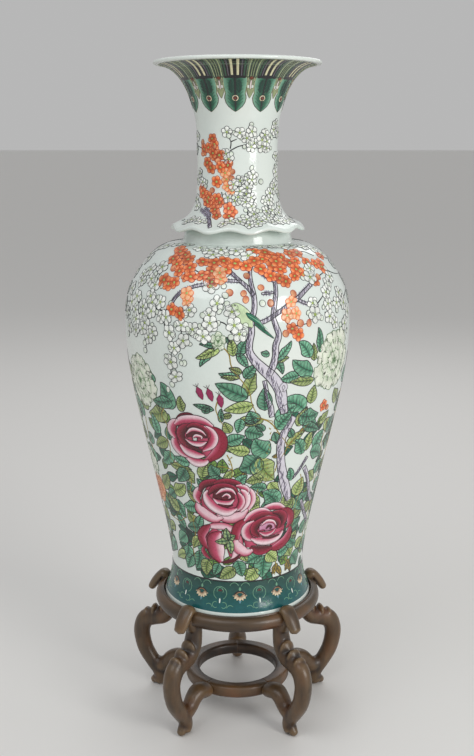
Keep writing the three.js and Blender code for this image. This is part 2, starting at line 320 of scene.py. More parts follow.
LIP_RADIUS, LIP_HALF = 135.4, 2.8
BODY_WALL, NECK_WALL = 9, 6
FOOT_HOLLOW, FLOOR_TOP = 232, 242
LOBE_COUNT, LOBE_LOW = 10, np.radians(11)
LOBE_DROP, LOBE_REACH = 3, 1.8
LOBES_FROM_RADIUS, LOBES_GROW_OVER, LOBES_BELOW = 80, 30, 912


def ruffled(angle, radius, height):
    """Pulls the collar's skirt down and out in lobes: a cosine round the vase, times a share
    that grows from nothing at the neck to one at the skirt's edge."""
    share = np.clip((radius - LOBES_FROM_RADIUS) / LOBES_GROW_OVER, 0, 1) ** 1.5 * (height < LOBES_BELOW)
    wave = np.cos(LOBE_COUNT * (angle - LOBE_LOW))
    return radius + LOBE_REACH * share * wave, height - LOBE_DROP * share * wave


class Turned:
    """A turned surface, known by its outline from bottom to top."""

    def __init__(self, outline, is_ruffled=False):
        self.radius, self.height = outline.T
        self.along = np.r_[0, np.cumsum(np.linalg.norm(np.diff(outline, axis=0), axis=1))]
        self.is_ruffled = is_ruffled

    def at_height(self, height):
        """Distance along the outline at which it reaches a height."""
        return np.interp(height, self.height, self.along)

    def radius_at(self, along):
        return np.interp(along, self.along, self.radius)

    def place(self, angle, along, lift):
        """Points in metres. The angle is counted from the front towards +X, and the lift is
        measured along the outward normal, which is the outline's direction turned clockwise."""
        radius, height = (np.interp(along, self.along, v) for v in (self.radius, self.height))
        rise, run = (np.interp(along, self.along, np.gradient(v, self.along)) for v in (self.height, self.radius))
        length = np.hypot(rise, run)
        radius, height = radius + lift * rise / length, height - lift * run / length
        if self.is_ruffled:
            radius, height = ruffled(angle, radius, height)
        return MM * np.stack([radius * np.sin(angle), -radius * np.cos(angle), height], axis=-1)


BODY = Turned(evenly(smooth_curve(BODY_OUTLINE), 500))
NECK = Turned(evenly(smooth_curve(COLLAR_TOP_OUTLINE[:-1] + [COLLAR_MEETS_NECK] + NECK_OUTLINE), 400), is_ruffled=True)
print("body outline", round(BODY.along[-1]), "mm, neck outline", round(NECK.along[-1]), "mm")


# %% [markdown]
# ## The glazed vase
#
# The clay sections were luted together and glazed over, so the finished vase shows one
# unbroken skin. It is made here as one closed lathe: up the outside, over the rounded lip,
# down the inside and across the floor, and back under the foot.


# %% Vase
def inner_outline(outer, wall, keep_from, keep_to):
    """The outline moved inwards along its normal, between two heights, from the top down."""
    run, rise = np.gradient(outer[:, 0]), np.gradient(outer[:, 1])
    length = np.hypot(run, rise)
    inner = outer + wall * np.stack([-rise / length, run / length], axis=1)
    kept = inner[(inner[:, 1] > keep_from) & (inner[:, 1] < keep_to)]
    return kept[::-1]


def arc(centre, radius, start, end, count):
    """Points on a circle arc in the outline's plane, in degrees from outwards, anticlockwise."""
    turn = np.radians(np.linspace(start, end, count))
    return np.array(centre) + radius * np.stack([np.cos(turn), np.sin(turn)], axis=1)


def lathe(name, outline, columns, wrap=False, is_ruffled=False):
    """Sweeps an outline in millimetres round the axis. Where it starts and ends on the axis,
    each end is closed by a fan of triangles round one pole."""
    poles = [] if wrap else [outline[0], outline[-1]]
    rows = outline if wrap else outline[1:-1]
    angle = np.linspace(0, 2 * np.pi, columns, endpoint=False)
    radius, height = (np.repeat(v[:, None], columns, axis=1) for v in rows.T)
    if is_ruffled:
        radius, height = ruffled(angle, radius, height)
    points = np.stack([radius * np.sin(angle), -radius * np.cos(angle), height], axis=-1).reshape(-1, 3)
    faces = [grid_faces(len(rows), columns, wrap_rows=wrap, wrap_columns=True)]
    if poles:
        first, last = len(points), len(points) + 1
        ring, after = np.arange(columns), (np.arange(columns) + 1) % columns
        top = (len(rows) - 1) * columns
        faces.append(np.stack([np.full(columns, first), after, ring], axis=1))
        faces.append(np.stack([np.full(columns, last), top + ring, top + after], axis=1))
        points = np.vstack([points, [(0, 0, pole[1]) for pole in poles]])
    return new_mesh(name, points * MM, faces)


def vase_outline():
    """The pot's closed line, from the middle of its underside to the middle of its floor."""
    under = [(0, FOOT_HOLLOW), (60, FOOT_HOLLOW), (94, FOOT_HOLLOW), (97, 229), (108, SEAT_HEIGHT + 6)]
    sole = [*arc((121.5, SEAT_HEIGHT + 2), 2, 200, 270, 5), *arc((129, SEAT_HEIGHT + 2), 2, 270, 350, 6)]
    body = evenly(smooth_curve(BODY_OUTLINE), 150)[1:]
    under_collar = evenly(smooth_curve(UNDER_COLLAR_OUTLINE), 24)
    neck = evenly(smooth_curve(NECK_OUTLINE), 90)
    lip = arc((LIP_RADIUS, RIM_HEIGHT - LIP_HALF), LIP_HALF, -75, 105, 12)
    inside_neck = inner_outline(neck, NECK_WALL, 935, RIM_HEIGHT - 4)[::12]
    inside_body = inner_outline(body, BODY_WALL, 275, 842)[12::24]
    under_shoulder, above_floor = [(62, 905), (76, 868), (92, 843)], [(106, 262), (102, 246)]
    inside = [(126, RIM_HEIGHT - 0.9), *inside_neck, *under_shoulder, *inside_body, *above_floor]
    floor = [(97, FLOOR_TOP + 0.4), (80, FLOOR_TOP), (40, FLOOR_TOP), (0, FLOOR_TOP)]
    return np.vstack([under, sole, body, under_collar, neck, lip, smooth_curve(inside, 4), floor])


def collar_outline():
    """The skirt's closed section: its top surface going up, and its hollow underside."""
    top = evenly(smooth_curve(COLLAR_TOP_OUTLINE), 30)
    under = evenly(smooth_curve([(66.5, 926), (73, 891), (80, 884), (90, 878), (100, 872.8), (105.6, 870)]), 18)
    roll = smooth_curve([(107.6, 869), (110, 869.6), (111.3, 871.6), (110.9, 874.2)], 4)
    return np.vstack([roll, top, [(67, 936)], under])


# %% Glaze
THIN_GLAZE, THICK_GLAZE, CLOUDED_GLAZE = (0.735, 0.81, 0.765), (0.79, 0.84, 0.79), (0.70, 0.79, 0.755)
IRON_SPECK = (0.42, 0.43, 0.36)
POOLS, CLOUDS, RIPPLES, PINPRICKS, SPECKS = 5, 14, 55, 260, 420


def porcelain():
    """A glaze that pools and clouds over a palm's width, with a few iron specks and a faint
    orange-peel relief. A noise's scale is how often it changes in a metre."""
    finish = Finish("porcelain glaze", {"IOR": 1.5, "Coat Weight": 0.35, "Coat Roughness": 0.03})
    place = finish.coordinates()
    pooled = finish.noise(place, POOLS, 2)
    cloud = finish.noise(finish.stretched(place, (1, 1, 0.5)), CLOUDS, 4)
    base = finish.mix(finish.steps(pooled, 0.35, 0.7), THIN_GLAZE, THICK_GLAZE)
    base = finish.mix(finish.steps(cloud, 0.3, 0.8) * 0.35, base, CLOUDED_GLAZE)
    specks = finish.steps(finish.noise(place, SPECKS, 1), 0.76, 0.8)
    finish.drive("Base Color", finish.mix(specks * 0.35, base, IRON_SPECK))
    finish.drive("Roughness", 0.09 + 0.07 * cloud)
    finish.bump(finish.noise(place, RIPPLES, 2) + 0.25 * finish.noise(place, PINPRICKS, 2), 0.0004)
    return finish.material


PORCELAIN = porcelain()
new_piece(lathe("vase", vase_outline(), 256), PORCELAIN, "vase",
          ["vase_foot", "vase_floor", "vase_belly", "vase_upper_belly", "vase_shoulder", "vase_neck", "vase_mouth"])
new_piece(lathe("ruffled_collar", collar_outline(), 320, wrap=True, is_ruffled=True), PORCELAIN, "vase",
          ["vase_collar"])

# %% [markdown]
# ## Enamel colours
#
# The painting is done over the fired glaze in enamels that stay slightly raised, so every
# petal, leaf and line is real relief of a few tenths of a millimetre. All patches of one
# enamel are gathered in one "jar" and become one piece. Their colour is kept on the points,
# because within one jar the painter shades from deep to pale.


# %% Enamel finishes
WASHES, HAIRS = 110, 600


def enamel(name, gloss, relief, streaks):
    """The painted colour, darkened and lightened in two sizes of brush streak."""
    finish = Finish(name, {"IOR": 1.5, "Coat Weight": 0.3, "Coat Roughness": 0.08})
    place = finish.coordinates()
    paint = finish.attribute("paint")
    wash = finish.noise(place, WASHES, 3, 0.6)
    fine = finish.noise(place, HAIRS, 2)
    pooled = finish.mix(streaks, paint, 0.3 + 1.4 * wash, "MULTIPLY")
    finish.drive("Base Color", finish.mix(0.5 * streaks, pooled, 0.3 + 1.4 * fine, "MULTIPLY"))
    finish.drive("Roughness", gloss + 0.15 * wash)
    finish.bump(wash + 0.4 * fine, relief)
    return finish.material


def ink(red, green, blue):
    """A display colour of 0 to 255 as the linear colour that a shader needs."""
    c = np.array([red, green, blue]) / 255
    return np.where(c < 0.04045, c / 12.92, ((c + 0.055) / 1.055) ** 2.4)


def shades(stops, count):
    """A run of colours through these stops, one for each row or column."""
    stops = np.array(stops)
    where = np.linspace(0, len(stops) - 1, count)
    return np.stack([np.interp(where, np.arange(len(stops)), c) for c in stops.T], axis=-1)


GREEN_ENAMEL = enamel("green enamels", 0.12, 0.00025, 0.5)
ROSE_ENAMEL = enamel("rose and white enamels", 0.2, 0.00025, 0.25)
IRON_ENAMEL = enamel("iron red and black", 0.3, 0.0001, 0.4)
BLACK, GREY = ink(26, 26, 30), ink(44, 50, 50)
print("enamels:", *[e.name for e in (GREEN_ENAMEL, ROSE_ENAMEL, IRON_ENAMEL)], sep="\n")


# %% Jars
class Jar:
    """One enamel: gathers all that is painted with it and fires it as one piece."""

    def __init__(self, name, finish):
        self.name, self.finish, self.count = name, finish, 0
        self.points, self.faces, self.paint = [], [], []

    def take(self, points, colour):
        """Adds strips of enamel: points are strips x rows x columns x 3, in metres."""
        strips, rows, columns = points.shape[:3]
        size = rows * columns
        starts = self.count + size * np.arange(strips)
        self.points.append(points.reshape(-1, 3))
        self.paint.append(np.broadcast_to(colour, points.shape).reshape(-1, 3))
        self.faces.append((grid_faces(rows, columns) + starts[:, None, None]).reshape(-1, 4))
        self.count += strips * size

    def fire(self):
        paint = np.vstack(self.paint)
        paint = np.column_stack([paint, np.ones(len(paint))])
        mesh = new_mesh(self.name, np.vstack(self.points), self.faces, {"paint": paint})
        new_piece(mesh, self.finish, "vase")


black_lines = Jar("enamel_black_lines", IRON_ENAMEL)
grey_lines = Jar("enamel_grey_lines", IRON_ENAMEL)
bark = Jar("enamel_bark", ROSE_ENAMEL)
teal = Jar("enamel_teal_leaves", GREEN_ENAMEL)
lime = Jar("enamel_lime_leaves", GREEN_ENAMEL)
stems = Jar("enamel_ochre_stems", GREEN_ENAMEL)
white_petals = Jar("enamel_white_petals", ROSE_ENAMEL)
coral_petals = Jar("enamel_coral_petals", IRON_ENAMEL)
hearts = Jar("enamel_flower_hearts", GREEN_ENAMEL)
rose_petals = Jar("enamel_rose_petals", ROSE_ENAMEL)
rose_lines = Jar("enamel_rose_lines", IRON_ENAMEL)
leaf_backs = Jar("enamel_leaves_behind", GREEN_ENAMEL)
back_lines = Jar("enamel_lines_behind", IRON_ENAMEL)
JARS = [black_lines, grey_lines, bark, teal, lime, stems, white_petals, coral_petals, hearts, rose_petals,
        rose_lines, leaf_backs, back_lines]

# %% [markdown]
# ## Motifs and brush strokes
#
# A painter repeats a few motifs over and over. Here a motif is a flat drawing of bands, each
# one a path with a width, that is turned, stretched and wrapped round the vase at many places
# at once. A band's two edges dip under the glaze and its middle stands above it, so no gap
# shows. Every lift is in millimetres above the glaze, and what is painted later lies higher.

# %% Bands of enamel
SUNK = -0.12
AREA = np.array([-1, -0.93, -0.5, 0, 0.5, 0.93, 1])
LINE = np.array([-1, -0.6, 0.6, 1])
OUTLINE_ABOVE = 0.06
dice = np.random.default_rng(7)


def widened(path, half_width, columns):
    """A path in the plane made into a band: each point moves along the path's right-hand
    normal by its half width times -1 to 1."""
    forward = np.gradient(path, axis=-2)
    forward = forward / np.maximum(np.linalg.norm(forward, axis=-1, keepdims=True), 1e-9)
    right = np.stack([forward[..., 1], -forward[..., 0]], axis=-1)
    reach = half_width[..., None] * columns
    return path[..., None, :] + reach[..., None] * right[..., None, :]


def rim(path, half_width):
    """The closed outline of such a band, from its start along one side and back."""
    band = widened(path, half_width, np.array([-1, 1]))
    loop = np.concatenate([band[..., 0, :], band[..., ::-1, 1, :]], axis=-2)
    return np.concatenate([loop, loop[..., :1, :]], axis=-2)


class Motif:
    """A drawing round its own centre, laid at many spots at once."""

    def __init__(self):
        self.parts = []

    def area(self, jar, path, half_width, lift, colour):
        """Patches that are stretched with the motif. Paths are paths x points x 2."""
        self.parts.append((jar, widened(path, half_width, AREA), None, lift, np.asarray(colour)))

    def line(self, jar, path, half_width, lift, colour):
        """Brush lines, whose width in millimetres stays the same at every size."""
        self.parts.append((jar, path, np.broadcast_to(half_width, path.shape[:-1]), lift, np.asarray(colour)))

    def outlined(self, jar, path, half_width, lift, colour, line_jar, line_colour, line=0.5):
        self.area(jar, path, half_width, lift, colour)
        self.line(line_jar, rim(path, half_width), line, lift + OUTLINE_ABOVE, line_colour)

    def lay(self, surface, angle, height, turn=0, length=1, width=None, tint=1, raised=0):
        """Turns and stretches the drawing, then wraps it round the vase: a step sideways is
        an angle of step / radius, and a step upwards goes along the outline."""
        angle, height, turn, length, raised = np.broadcast_arrays(
            np.radians(np.atleast_1d(angle)), height, np.radians(turn), length, raised)
        width = length if width is None else np.broadcast_to(width, angle.shape)
        along = surface.at_height(height)
        spots = len(angle)
        c, s = np.cos(turn), np.sin(turn)
        tint = np.broadcast_to(tint, (spots, 3))
        for jar, shape, half_width, lift, colour in self.parts:
            flat = shape.reshape(-1, 2)
            x, y = flat[:, 0] * length[:, None], flat[:, 1] * width[:, None]
            flat = np.stack([x * c[:, None] - y * s[:, None], x * s[:, None] + y * c[:, None]], axis=-1)
            flat = flat.reshape(spots, *shape.shape)
            columns = AREA
            if half_width is not None:
                columns = LINE
                flat = widened(flat, half_width[None], LINE)
            y = along[:, None, None, None] + flat[..., 1]
            turned = angle[:, None, None, None] + flat[..., 0] / surface.radius_at(y)
            lifts = np.where(abs(columns) == 1, SUNK, lift * (1.15 - 0.15 * columns**2))
            lifts = lifts + raised[:, None, None, None] * (abs(columns) < 1)
            points = surface.place(turned, y, np.broadcast_to(lifts, turned.shape))
            colours = tint[:, None, None, None, :] * np.broadcast_to(colour, (*shape.shape[:2], len(columns), 3))
            jar.take(points.reshape(-1, *points.shape[2:]), colours.reshape(-1, *points.shape[2:]))


# %% Strokes, circles and discs
def brush(surface, points, lift, colour, jar, line_jar=None, line_colour=None, line=0.5):
    """One long stroke through (angle, height, half width) points, outlined if asked. Returns
    the smooth run of such points that it follows."""
    path = smooth_curve(points, 6)
    angle, height = path[len(path) // 2, :2]
    along = surface.at_height(path[:, 1])
    x = np.radians(path[:, 0] - angle) * surface.radius_at(along)
    local = np.stack([x, along - surface.at_height(height)], axis=-1)[None]
    stroke = Motif()
    if line_jar is None:
        stroke.line(jar, local, path[None, :, 2], lift, colour)
    else:
        stroke.outlined(jar, local, path[None, :, 2], lift, colour, line_jar, line_colour, line)
    stroke.lay(surface, angle, height)
    return path


def circle(radius, points, centre=(0, 0), start=0, sweep=360):
    """Points on a circle, or on the part of it that sweeps this far from its start."""
    turn = np.radians(start + np.linspace(0, sweep, points))
    return np.stack([centre[0] + radius * np.cos(turn), centre[1] + radius * np.sin(turn)], axis=-1)


def disc(centre, radius, heading=0, rows=6):
    """A round patch as a band: half a turn of cosines along it and sines across it."""
    t = np.linspace(0, np.pi, rows)
    ahead = np.array([np.cos(np.radians(heading)), np.sin(np.radians(heading))])
    path = np.asarray(centre) - radius * np.cos(t)[:, None] * ahead
    return path, np.maximum(radius * np.sin(t), 0.02)


# %% [markdown]
# ## Plum blossom
#
# Five round petals, a yellow-green heart and a few stamens, seen from the front or squeezed to
# an oval when it turns away. Three versions share the drawing: coral red, outlined white, and a
# paler coral that is a painted reflection of the window on coral plum.

# %% Blossom motifs
PETAL_WHITE, PETAL_SHADE = ink(244, 247, 242), ink(206, 222, 198)
# The last, palest coral is a painted reflection: coral plum drawn paler where the window is reflected.
CORAL, DEEP_CORAL, PALE_CORAL, REFLECTION_CORAL = ink(232, 112, 48), ink(168, 56, 22), ink(246, 190, 140), ink(240, 186, 160)
HEART_GREEN = ink(160, 180, 96)
BUD_LIFT, PETAL_LIFT, STAMEN_LIFT, HEART_LIFT = 0.44, 0.46, 0.54, 0.56


def blossom(petal_jar, petal_colours, line_jar, line_colour, stamens):
    """Five discs set at equal turns round a small one, and a short line over each of them."""
    motif = Motif()
    headings = 90 + 72 * np.arange(5)
    ahead = np.stack([np.cos(np.radians(headings)), np.sin(np.radians(headings))], axis=-1)
    pairs = [disc(0.57 * a, 0.43, h) for a, h in zip(ahead, headings)]
    path, half_width = (np.stack(v) for v in zip(*pairs))
    colours = shades(petal_colours, path.shape[1])[None, :, None, :]
    motif.outlined(petal_jar, path, half_width, PETAL_LIFT, colours, line_jar, line_colour, 0.55)
    path, half_width = disc((0, 0), 0.2, rows=5)
    motif.area(hearts, path[None], half_width[None], HEART_LIFT, HEART_GREEN)
    if stamens:
        motif.line(line_jar, np.stack([0.16 * ahead, 0.5 * ahead], axis=1), 0.4, STAMEN_LIFT, line_colour)
    return motif


def bud(petal_jar, colours, line_jar, line_colour):
    """One disc, shaded from its stalk to its tip."""
    motif = Motif()
    path, half_width = disc((0, 0), 0.42)
    colours = shades(colours, len(path))[None, :, None, :]
    motif.outlined(petal_jar, path[None], half_width[None], BUD_LIFT, colours, line_jar, line_colour, 0.55)
    return motif


WHITE_BLOSSOM = blossom(white_petals, [PETAL_SHADE, PETAL_WHITE, PETAL_WHITE], grey_lines, GREY, stamens=False)
CORAL_BLOSSOM = blossom(coral_petals, [DEEP_CORAL, CORAL, PALE_CORAL], coral_petals, DEEP_CORAL, stamens=True)
# Coral plum drawn paler, as a painted reflection of the window.
CORAL_BLOSSOM_IN_REFLECTION = blossom(coral_petals, [CORAL, PALE_CORAL, REFLECTION_CORAL], coral_petals, CORAL, stamens=False)
WHITE_BUD = bud(white_petals, [PETAL_SHADE, PETAL_WHITE], grey_lines, GREY)
CORAL_BUD = bud(coral_petals, [DEEP_CORAL, PALE_CORAL], coral_petals, DEEP_CORAL)
print("a white blossom has", len(WHITE_BLOSSOM.parts), "parts, a coral one", len(CORAL_BLOSSOM.parts))

# %% [markdown]
# ### Where the plum grows
#
# Coral plum fills the shoulder, white plum hangs from it at the sides, and both climb the neck.
# The places are given as runs of angle and height, because a scattering by chance
# would not follow the branches. The same garden is reflected on the back of the vase.

# %% Places round the vase
DEGREE_MM = 2.8
FRONT_AND_BACK = ((0, 1), (180, -1))


def mirrored(spots):
    """The same places on the back of the vase, reflected, so that the garden runs round."""
    back = np.array(spots, float)
    back[:, 0] = 180 - back[:, 0]
    return back


def places(text):
    """Reads runs of "angle,height" places. A slash starts a new run."""
    return [np.array([[float(v) for v in place.split(",")] for place in run.split()]) for run in text.split("/")]


def along_runs(text, gap):
    """Places at about equal gaps, in millimetres, along every run."""
    found = []
    for run in places(text):
        length = np.linalg.norm(np.diff(run * (DEGREE_MM, 1), axis=0), axis=1).sum()
        found.append(run if len(run) < 2 else evenly(run, max(2, round(length / gap) + 1)))
    return np.vstack(found)


def scatter(motif, surface, spots, size, spread=0.0, tint_swing=0.12):
    """Lays a motif at (angle, height) spots and on the back, each turned at random, squeezed
    by up to a quarter, and a little higher or lower than its neighbours, so they overlap."""
    spots = np.vstack([spots, mirrored(spots)])
    count = len(spots)
    tint = 1 + tint_swing * dice.uniform(-1, 1, (count, 1))
    motif.lay(surface, spots[:, 0] + spread * dice.uniform(-1, 1, count), spots[:, 1],
              dice.uniform(0, 360, count), size * dice.uniform(0.85, 1.1, count),
              size * dice.uniform(0.72, 1.05, count), tint, dice.uniform(0, 0.3, count))
    print(count, "flowers or buds of", size, "mm")


# %% Plum on the shoulder
WHITE_RUNS = """-36,742 -34,715 -31,690 -33,668 -30,648 / -27,732 -27,702 -22,706 -17,717 / -47,748 -50,725
-49,706 / -60,712 -54,718 -45,716 / -40,742 -46,738 -52,742 -58,730 / -60,766 -52,770 -44,772 -40,764 / -62,790
-54,796 -47,788 / -50,815 -57,810 -66,800 / -45,762 -53,753 -62,745 / -72,775 -67,752 -74,735 -68,715 / -13,793
-14,778 -10,768 / -22,756 -17,748 -10,752 -4,756 / -14,738 -20,727 / -12,733 -4,727 0,738 2,722 / 39,763 46,766
53,752 59,757 / 39,745 46,742 51,737 56,727 / 50,776 55,790 62,797 / 43,801 46,813 / 63,771 68,755 73,740 66,720
/ -32,845 -20,842 -9,844 0,842 6,836 / -18,837 -10,838 / 12,847 26,847 40,846 / -52,847 -66,846 -80,838 / 52,846
66,842 78,830 / -83,800 -84,770 -80,745 / 82,812 85,785 83,758 / -75,822 -84,828"""
WHITE_BUDS = """-34,634 -37,624 -32,656 / -51,695 -51,683 / -22,722 -17,728 -36,680 -34,672 / -8,762 -6,780 /
58,745 / 36,749 / -25,748 / 12,768 / 62,810 / -47,800 -52,804 / -62,735 -60,755 / -3,717 / -70,700 / 71,705 /
-28,682 -26,672"""
CORAL_RUNS = """-51,843 -44,838 -38,835 / -44,828 -38,822 -36,812 / -34,829 -30,822 -28,812 -31,803 -36,795 /
-22,827 -17,820 -13,811 -13,799 / -43,797 -38,792 / -26,805 -20,808 -14,804 / -14,826 -8,829 -1,825 4,822 /
10,829 14,822 12,814 18,807 / 12,842 20,840 24,833 / 20,822 26,828 33,834 38,838 44,837 / 25,816 30,811 36,815
38,826 / 22,803 27,798 / 33,805 37,811 / 40,806 46,803 45,796 / 48,823 53,820 58,813 / -33,755 -30,750 / 26,727
29,717 / 54,588 / 17,831 22,836 28,822 33,824 / -8,817 / 62,818 68,828"""
CORAL_BUDS = """-4,784 3,783 4,774 / 31,734 36,733 / 12,791 / 29,780 / 5,808 / 16,768 / 23,720 / -40,815 /
50,800 / 57,582 / -37,746"""
# Coral plum where the window is reflected on the shoulder, drawn paler as a painted reflection, and its mirror on the
# back.
REFLECTION_RUNS = "-26,781 -25,771 / 24,748 25,758 27,769 29,750 / -10,812 -9,803"

scatter(WHITE_BLOSSOM, BODY, along_runs(WHITE_RUNS, 27), 13.5, spread=1.5)
scatter(WHITE_BUD, BODY, along_runs(WHITE_RUNS, 24), 10.5, spread=6)
scatter(WHITE_BUD, BODY, np.vstack(places(WHITE_BUDS)), 12)
scatter(CORAL_BLOSSOM, BODY, along_runs(CORAL_RUNS, 19), 12, spread=1.5, tint_swing=0.2)
scatter(CORAL_BUD, BODY, np.vstack(places(CORAL_BUDS)), 14, tint_swing=0.2)
scatter(CORAL_BLOSSOM_IN_REFLECTION, BODY, along_runs(REFLECTION_RUNS, 20), 12)

# %% Plum on the neck
NECK_WHITE = """-15,1026 / 5,1025 9,1016 17,1017 19,1027 / 24,1009 18,1003 / 34,1014 42,1022 44,1010 36,1003
46,1001 / -15,992 -12,984 / 20,958 13,951 24,951 17,944 8,936 3,950 / -5,944 0,935 8,927 16,931 18,923 / -12,923
-5,918 2,924 / 4,886 14,881 24,884 33,888 / 38,884 47,886 56,884 / -6,886 -14,882 / 66,884 76,886 / -40,884
-52,888 -64,884 / 12,916 19,909 / 19,897 22,889 12,889 / 38,918 45,921 53,913 48,930 57,936 / 36,901 38,892
47,902 / 62,1040 60,1030 70,1026 / 70,988 78,982 / 68,963 76,955 / 63,942 72,934 80,926 / -67,961 -72,950 /
-56,947 / -64,908 -74,918 / -80,1000 -76,1020 / 60,897 66,906"""
NECK_WHITE_BUDS = """19,1038 / 20,970 / 34,948 / 6,894 / -12,1020 / 10,903 / 25,902 / 30,1010 / 41,1028 /
-50,940 / -8,950 / 55,1018 / 66,972"""
NECK_CORAL = """-38,1016 -33,1007 / -45,1002 -52,999 / -36,993 -30,988 -25,990 / -46,978 -40,970 / -24,971
-14,974 / -31,948 / -60,935 -55,929 / -48,925 -42,922 -45,915 -36,914 / -28,921 -24,915 / -28,904 -25,895 /
-11,906 -5,903 -9,894"""
NECK_CORAL_BUDS = "-57,1010 / -57,992 / -7,964 / -33,1003 / -8,954 / -28,981 / -37,934"
scatter(WHITE_BLOSSOM, NECK, along_runs(NECK_WHITE, 21), 10, spread=2)
scatter(WHITE_BUD, NECK, along_runs(NECK_WHITE, 20), 8.5, spread=10)
scatter(WHITE_BUD, NECK, np.vstack(places(NECK_WHITE_BUDS)), 10)
scatter(CORAL_BLOSSOM, NECK, along_runs(NECK_CORAL, 15), 10.5, spread=1.5, tint_swing=0.2)
scatter(CORAL_BUD, NECK, np.vstack(places(NECK_CORAL_BUDS)), 11, tint_swing=0.2)
# Coral plum on the neck drawn paler where the window is reflected: a painted reflection.
scatter(CORAL_BLOSSOM_IN_REFLECTION, NECK, np.vstack(places("-17,962 -15,952 / -14,941 / -8,934")), 9)

# %% [markdown]
# ## Trunks and twigs
#
# The old plum trunk is a pale lavender wash inside a black brush line, with short strokes of
# shading along one side. A long stroke is a smooth curve through a few places, each with its
# own half width.


# %% Trunks
LAVENDER, PALE_BARK = ink(146, 138, 160), ink(214, 210, 220)
TRUNK_LIFT, TWIG_LIFT = 0.33, 0.36
bark_mark = Motif()
bark_mark.line(bark, np.array([[(0, -0.5), (0.05, 0), (0, 0.5)]]), 0.9, 0.38, LAVENDER)
bark_mark.line(black_lines, np.array([[(0.12, -0.3), (0.15, 0), (0.12, 0.3)]]), 0.45, 0.42, BLACK)


def trunk(surface, text):
    """A stroke through "angle,height,half width" places, and hatching across its left side."""
    for run in places(text):
        for points in (run, mirrored(run)):
            path = brush(surface, points, TRUNK_LIFT, PALE_BARK, bark, black_lines, BLACK, line=1)
            marks = evenly(path, 3 * len(path) // 2)[2:-2]
            side = dice.uniform(-0.9, 0.1, len(marks))
            angle = marks[:, 0] + np.degrees(side * marks[:, 2] / surface.radius_at(surface.at_height(marks[:, 1])))
            bark_mark.lay(surface, angle, marks[:, 1], dice.uniform(-25, 25, len(marks)), 5, 9)
    print(len(places(text)), "trunks and boughs")


def twigs(surface, text, half_width, jar=black_lines, colour=BLACK):
    """Thin strokes through "angle,height" places, which taper to six tenths of their width."""
    for run in places(text):
        for points in (run, mirrored(run)):
            taper = np.linspace(1, 0.6, len(points)) * half_width
            brush(surface, np.column_stack([points, taper]), TWIG_LIFT, colour, jar)
    print(len(places(text)), "twigs or stems")


trunk(BODY, """18,584,4 17,600,4.5 15,617,3.5 14,632,3 13,646,3 / 25,588,6 23.5,602,8 22.5,614,9.5 21.5,628,9.5
19,642,9.5 16,654,9 12,666,8 8,680,6.5 5.5,694,5.5 5.5,708,5 6.5,724,4.5 6.5,742,4.2 8,760,3.8 8,780,3.5 7,798,3
7,814,2.5 9,826,2 / 15,655,5 17,670,5.5 18,686,5 18,702,5 19.5,718,4.5 18,734,4 17,748,3.5 18,766,3.5 19.5,784,3
20,802,2.8 20,818,2.2 21,832,1.6 / 6,738,3 12,740,3 19,752,3 25,763,3 30,771,3.2 36,782,3 42,791,2.5 48,799,1.8
/ 8,780,2.8 5,792,2.8 1,802,2.5 -3,812,2 -5,820,1.4 / 2,800,2 -6,801,2 -14,797,2.3 -22,792,2.4 -28,785,2.6
-32,774,2.6 -34,762,2.4 -37,748,1.8 / 30,771,2.2 36,763,2 43,758,1.6 / 20,798,1.8 15,807,1.6 11,817,1.2 /
12,782,1.4 18,783,1.4 / 31,580,5.5 28,562,6.5 25.5,546,7 25,528,7 26,510,7 27,495,7.5 29,478,8 31,462,8.5
34,444,8 37,426,5 / 47,500,3 44,488,2.5 41,476,2.2 37,466,2 / 46,482,4 51,464,4 55,446,4 60,424,4 67,404,3.5 /
50,418,3 55,400,3.5 62,380,3.5 70,362,3""")
KNOT = [(22.5, 626, 2.2), (21.5, 633, 2.4), (23, 639, 2.2), (24.5, 633, 2.4), (23, 626, 2)]
brush(BODY, KNOT, 0.42, PALE_BARK, bark, black_lines, BLACK)
trunk(NECK, "-25,879,2.4 -30,886,2.2 -36,893,2 -44,899,1.6 -54,903,1.2 / -33,890,1.6 -36,899,1.4 -46,906,1")
twigs(BODY, """-36,750 -42,753 -49,754 / -37,748 -37,730 -34,708 -33,688 -34,660 -34,640 / -12,742 -6,738 -3,724
/ -47,752 -48,735 -51,712 -50,688 / 42,760 46,768 50,776 / 47,746 52,736 56,724 / -27,736 -27,712 -24,702 /
-9,847 -8,838 -11,828 / -18,847 -15,838 / 60,830 52,838 42,835 / 46,798 54,803 62,808 / -52,812 -48,800 -49,788
/ -3,812 -6,806 / -16,808 -22,812 -30,820 -38,830 / 22,744 25,733 30,731 36,733 / 62,808 70,800 80,796 / -50,754
-62,758 -75,752 -88,748 / 70,762 80,770 90,772 / -66,752 -70,735 -69,716""", 1.3)
twigs(NECK, """-10,997 0,1003 10,1006 20,1008 30,1008 / -10,1000 -9,1010 -13,1021 / -9,1011 -1,1015 / 45,1019
56,1018 72,1018 / 34,885 47,892 58,902 72,914 84,918 / 42,898 43,911 49,924 60,931 76,936 / 57,917 56,908 /
-28,983 -28,964 / -41,930 -36,937 / -22,932 -20,921 / 11,888 13,902 20,914 26,922 / 4,940 12,950 20,964 /
-52,999 -64,1002 -80,1006 / 60,1040 66,1030 76,1018""", 1.1)

# %% [markdown]
# ## Leaves
#
# Each leaf is a teal or lime wash with a black outline, a midrib and side veins. The outline
# of the half leaf is a sine whose peak is drawn towards the stalk, which leaves a long tip.


# %% Leaf motif
TEAL, DEEP_TEAL, PALE_TEAL = ink(50, 142, 104), ink(10, 60, 44), ink(150, 212, 176)
LIME, DEEP_LIME, PALE_LIME = ink(150, 180, 86), ink(66, 108, 40), ink(212, 226, 156)
LEAF_BENDS = (-0.13, 0, 0.13)


def half_leaf(u):
    """Half the width of a leaf of unit width, at each share of its length: half a sine wave
    of that share to the power 0.72, which draws the widest place towards the stalk."""
    return 0.5 * np.sin(np.pi * u**0.72) ** 0.85


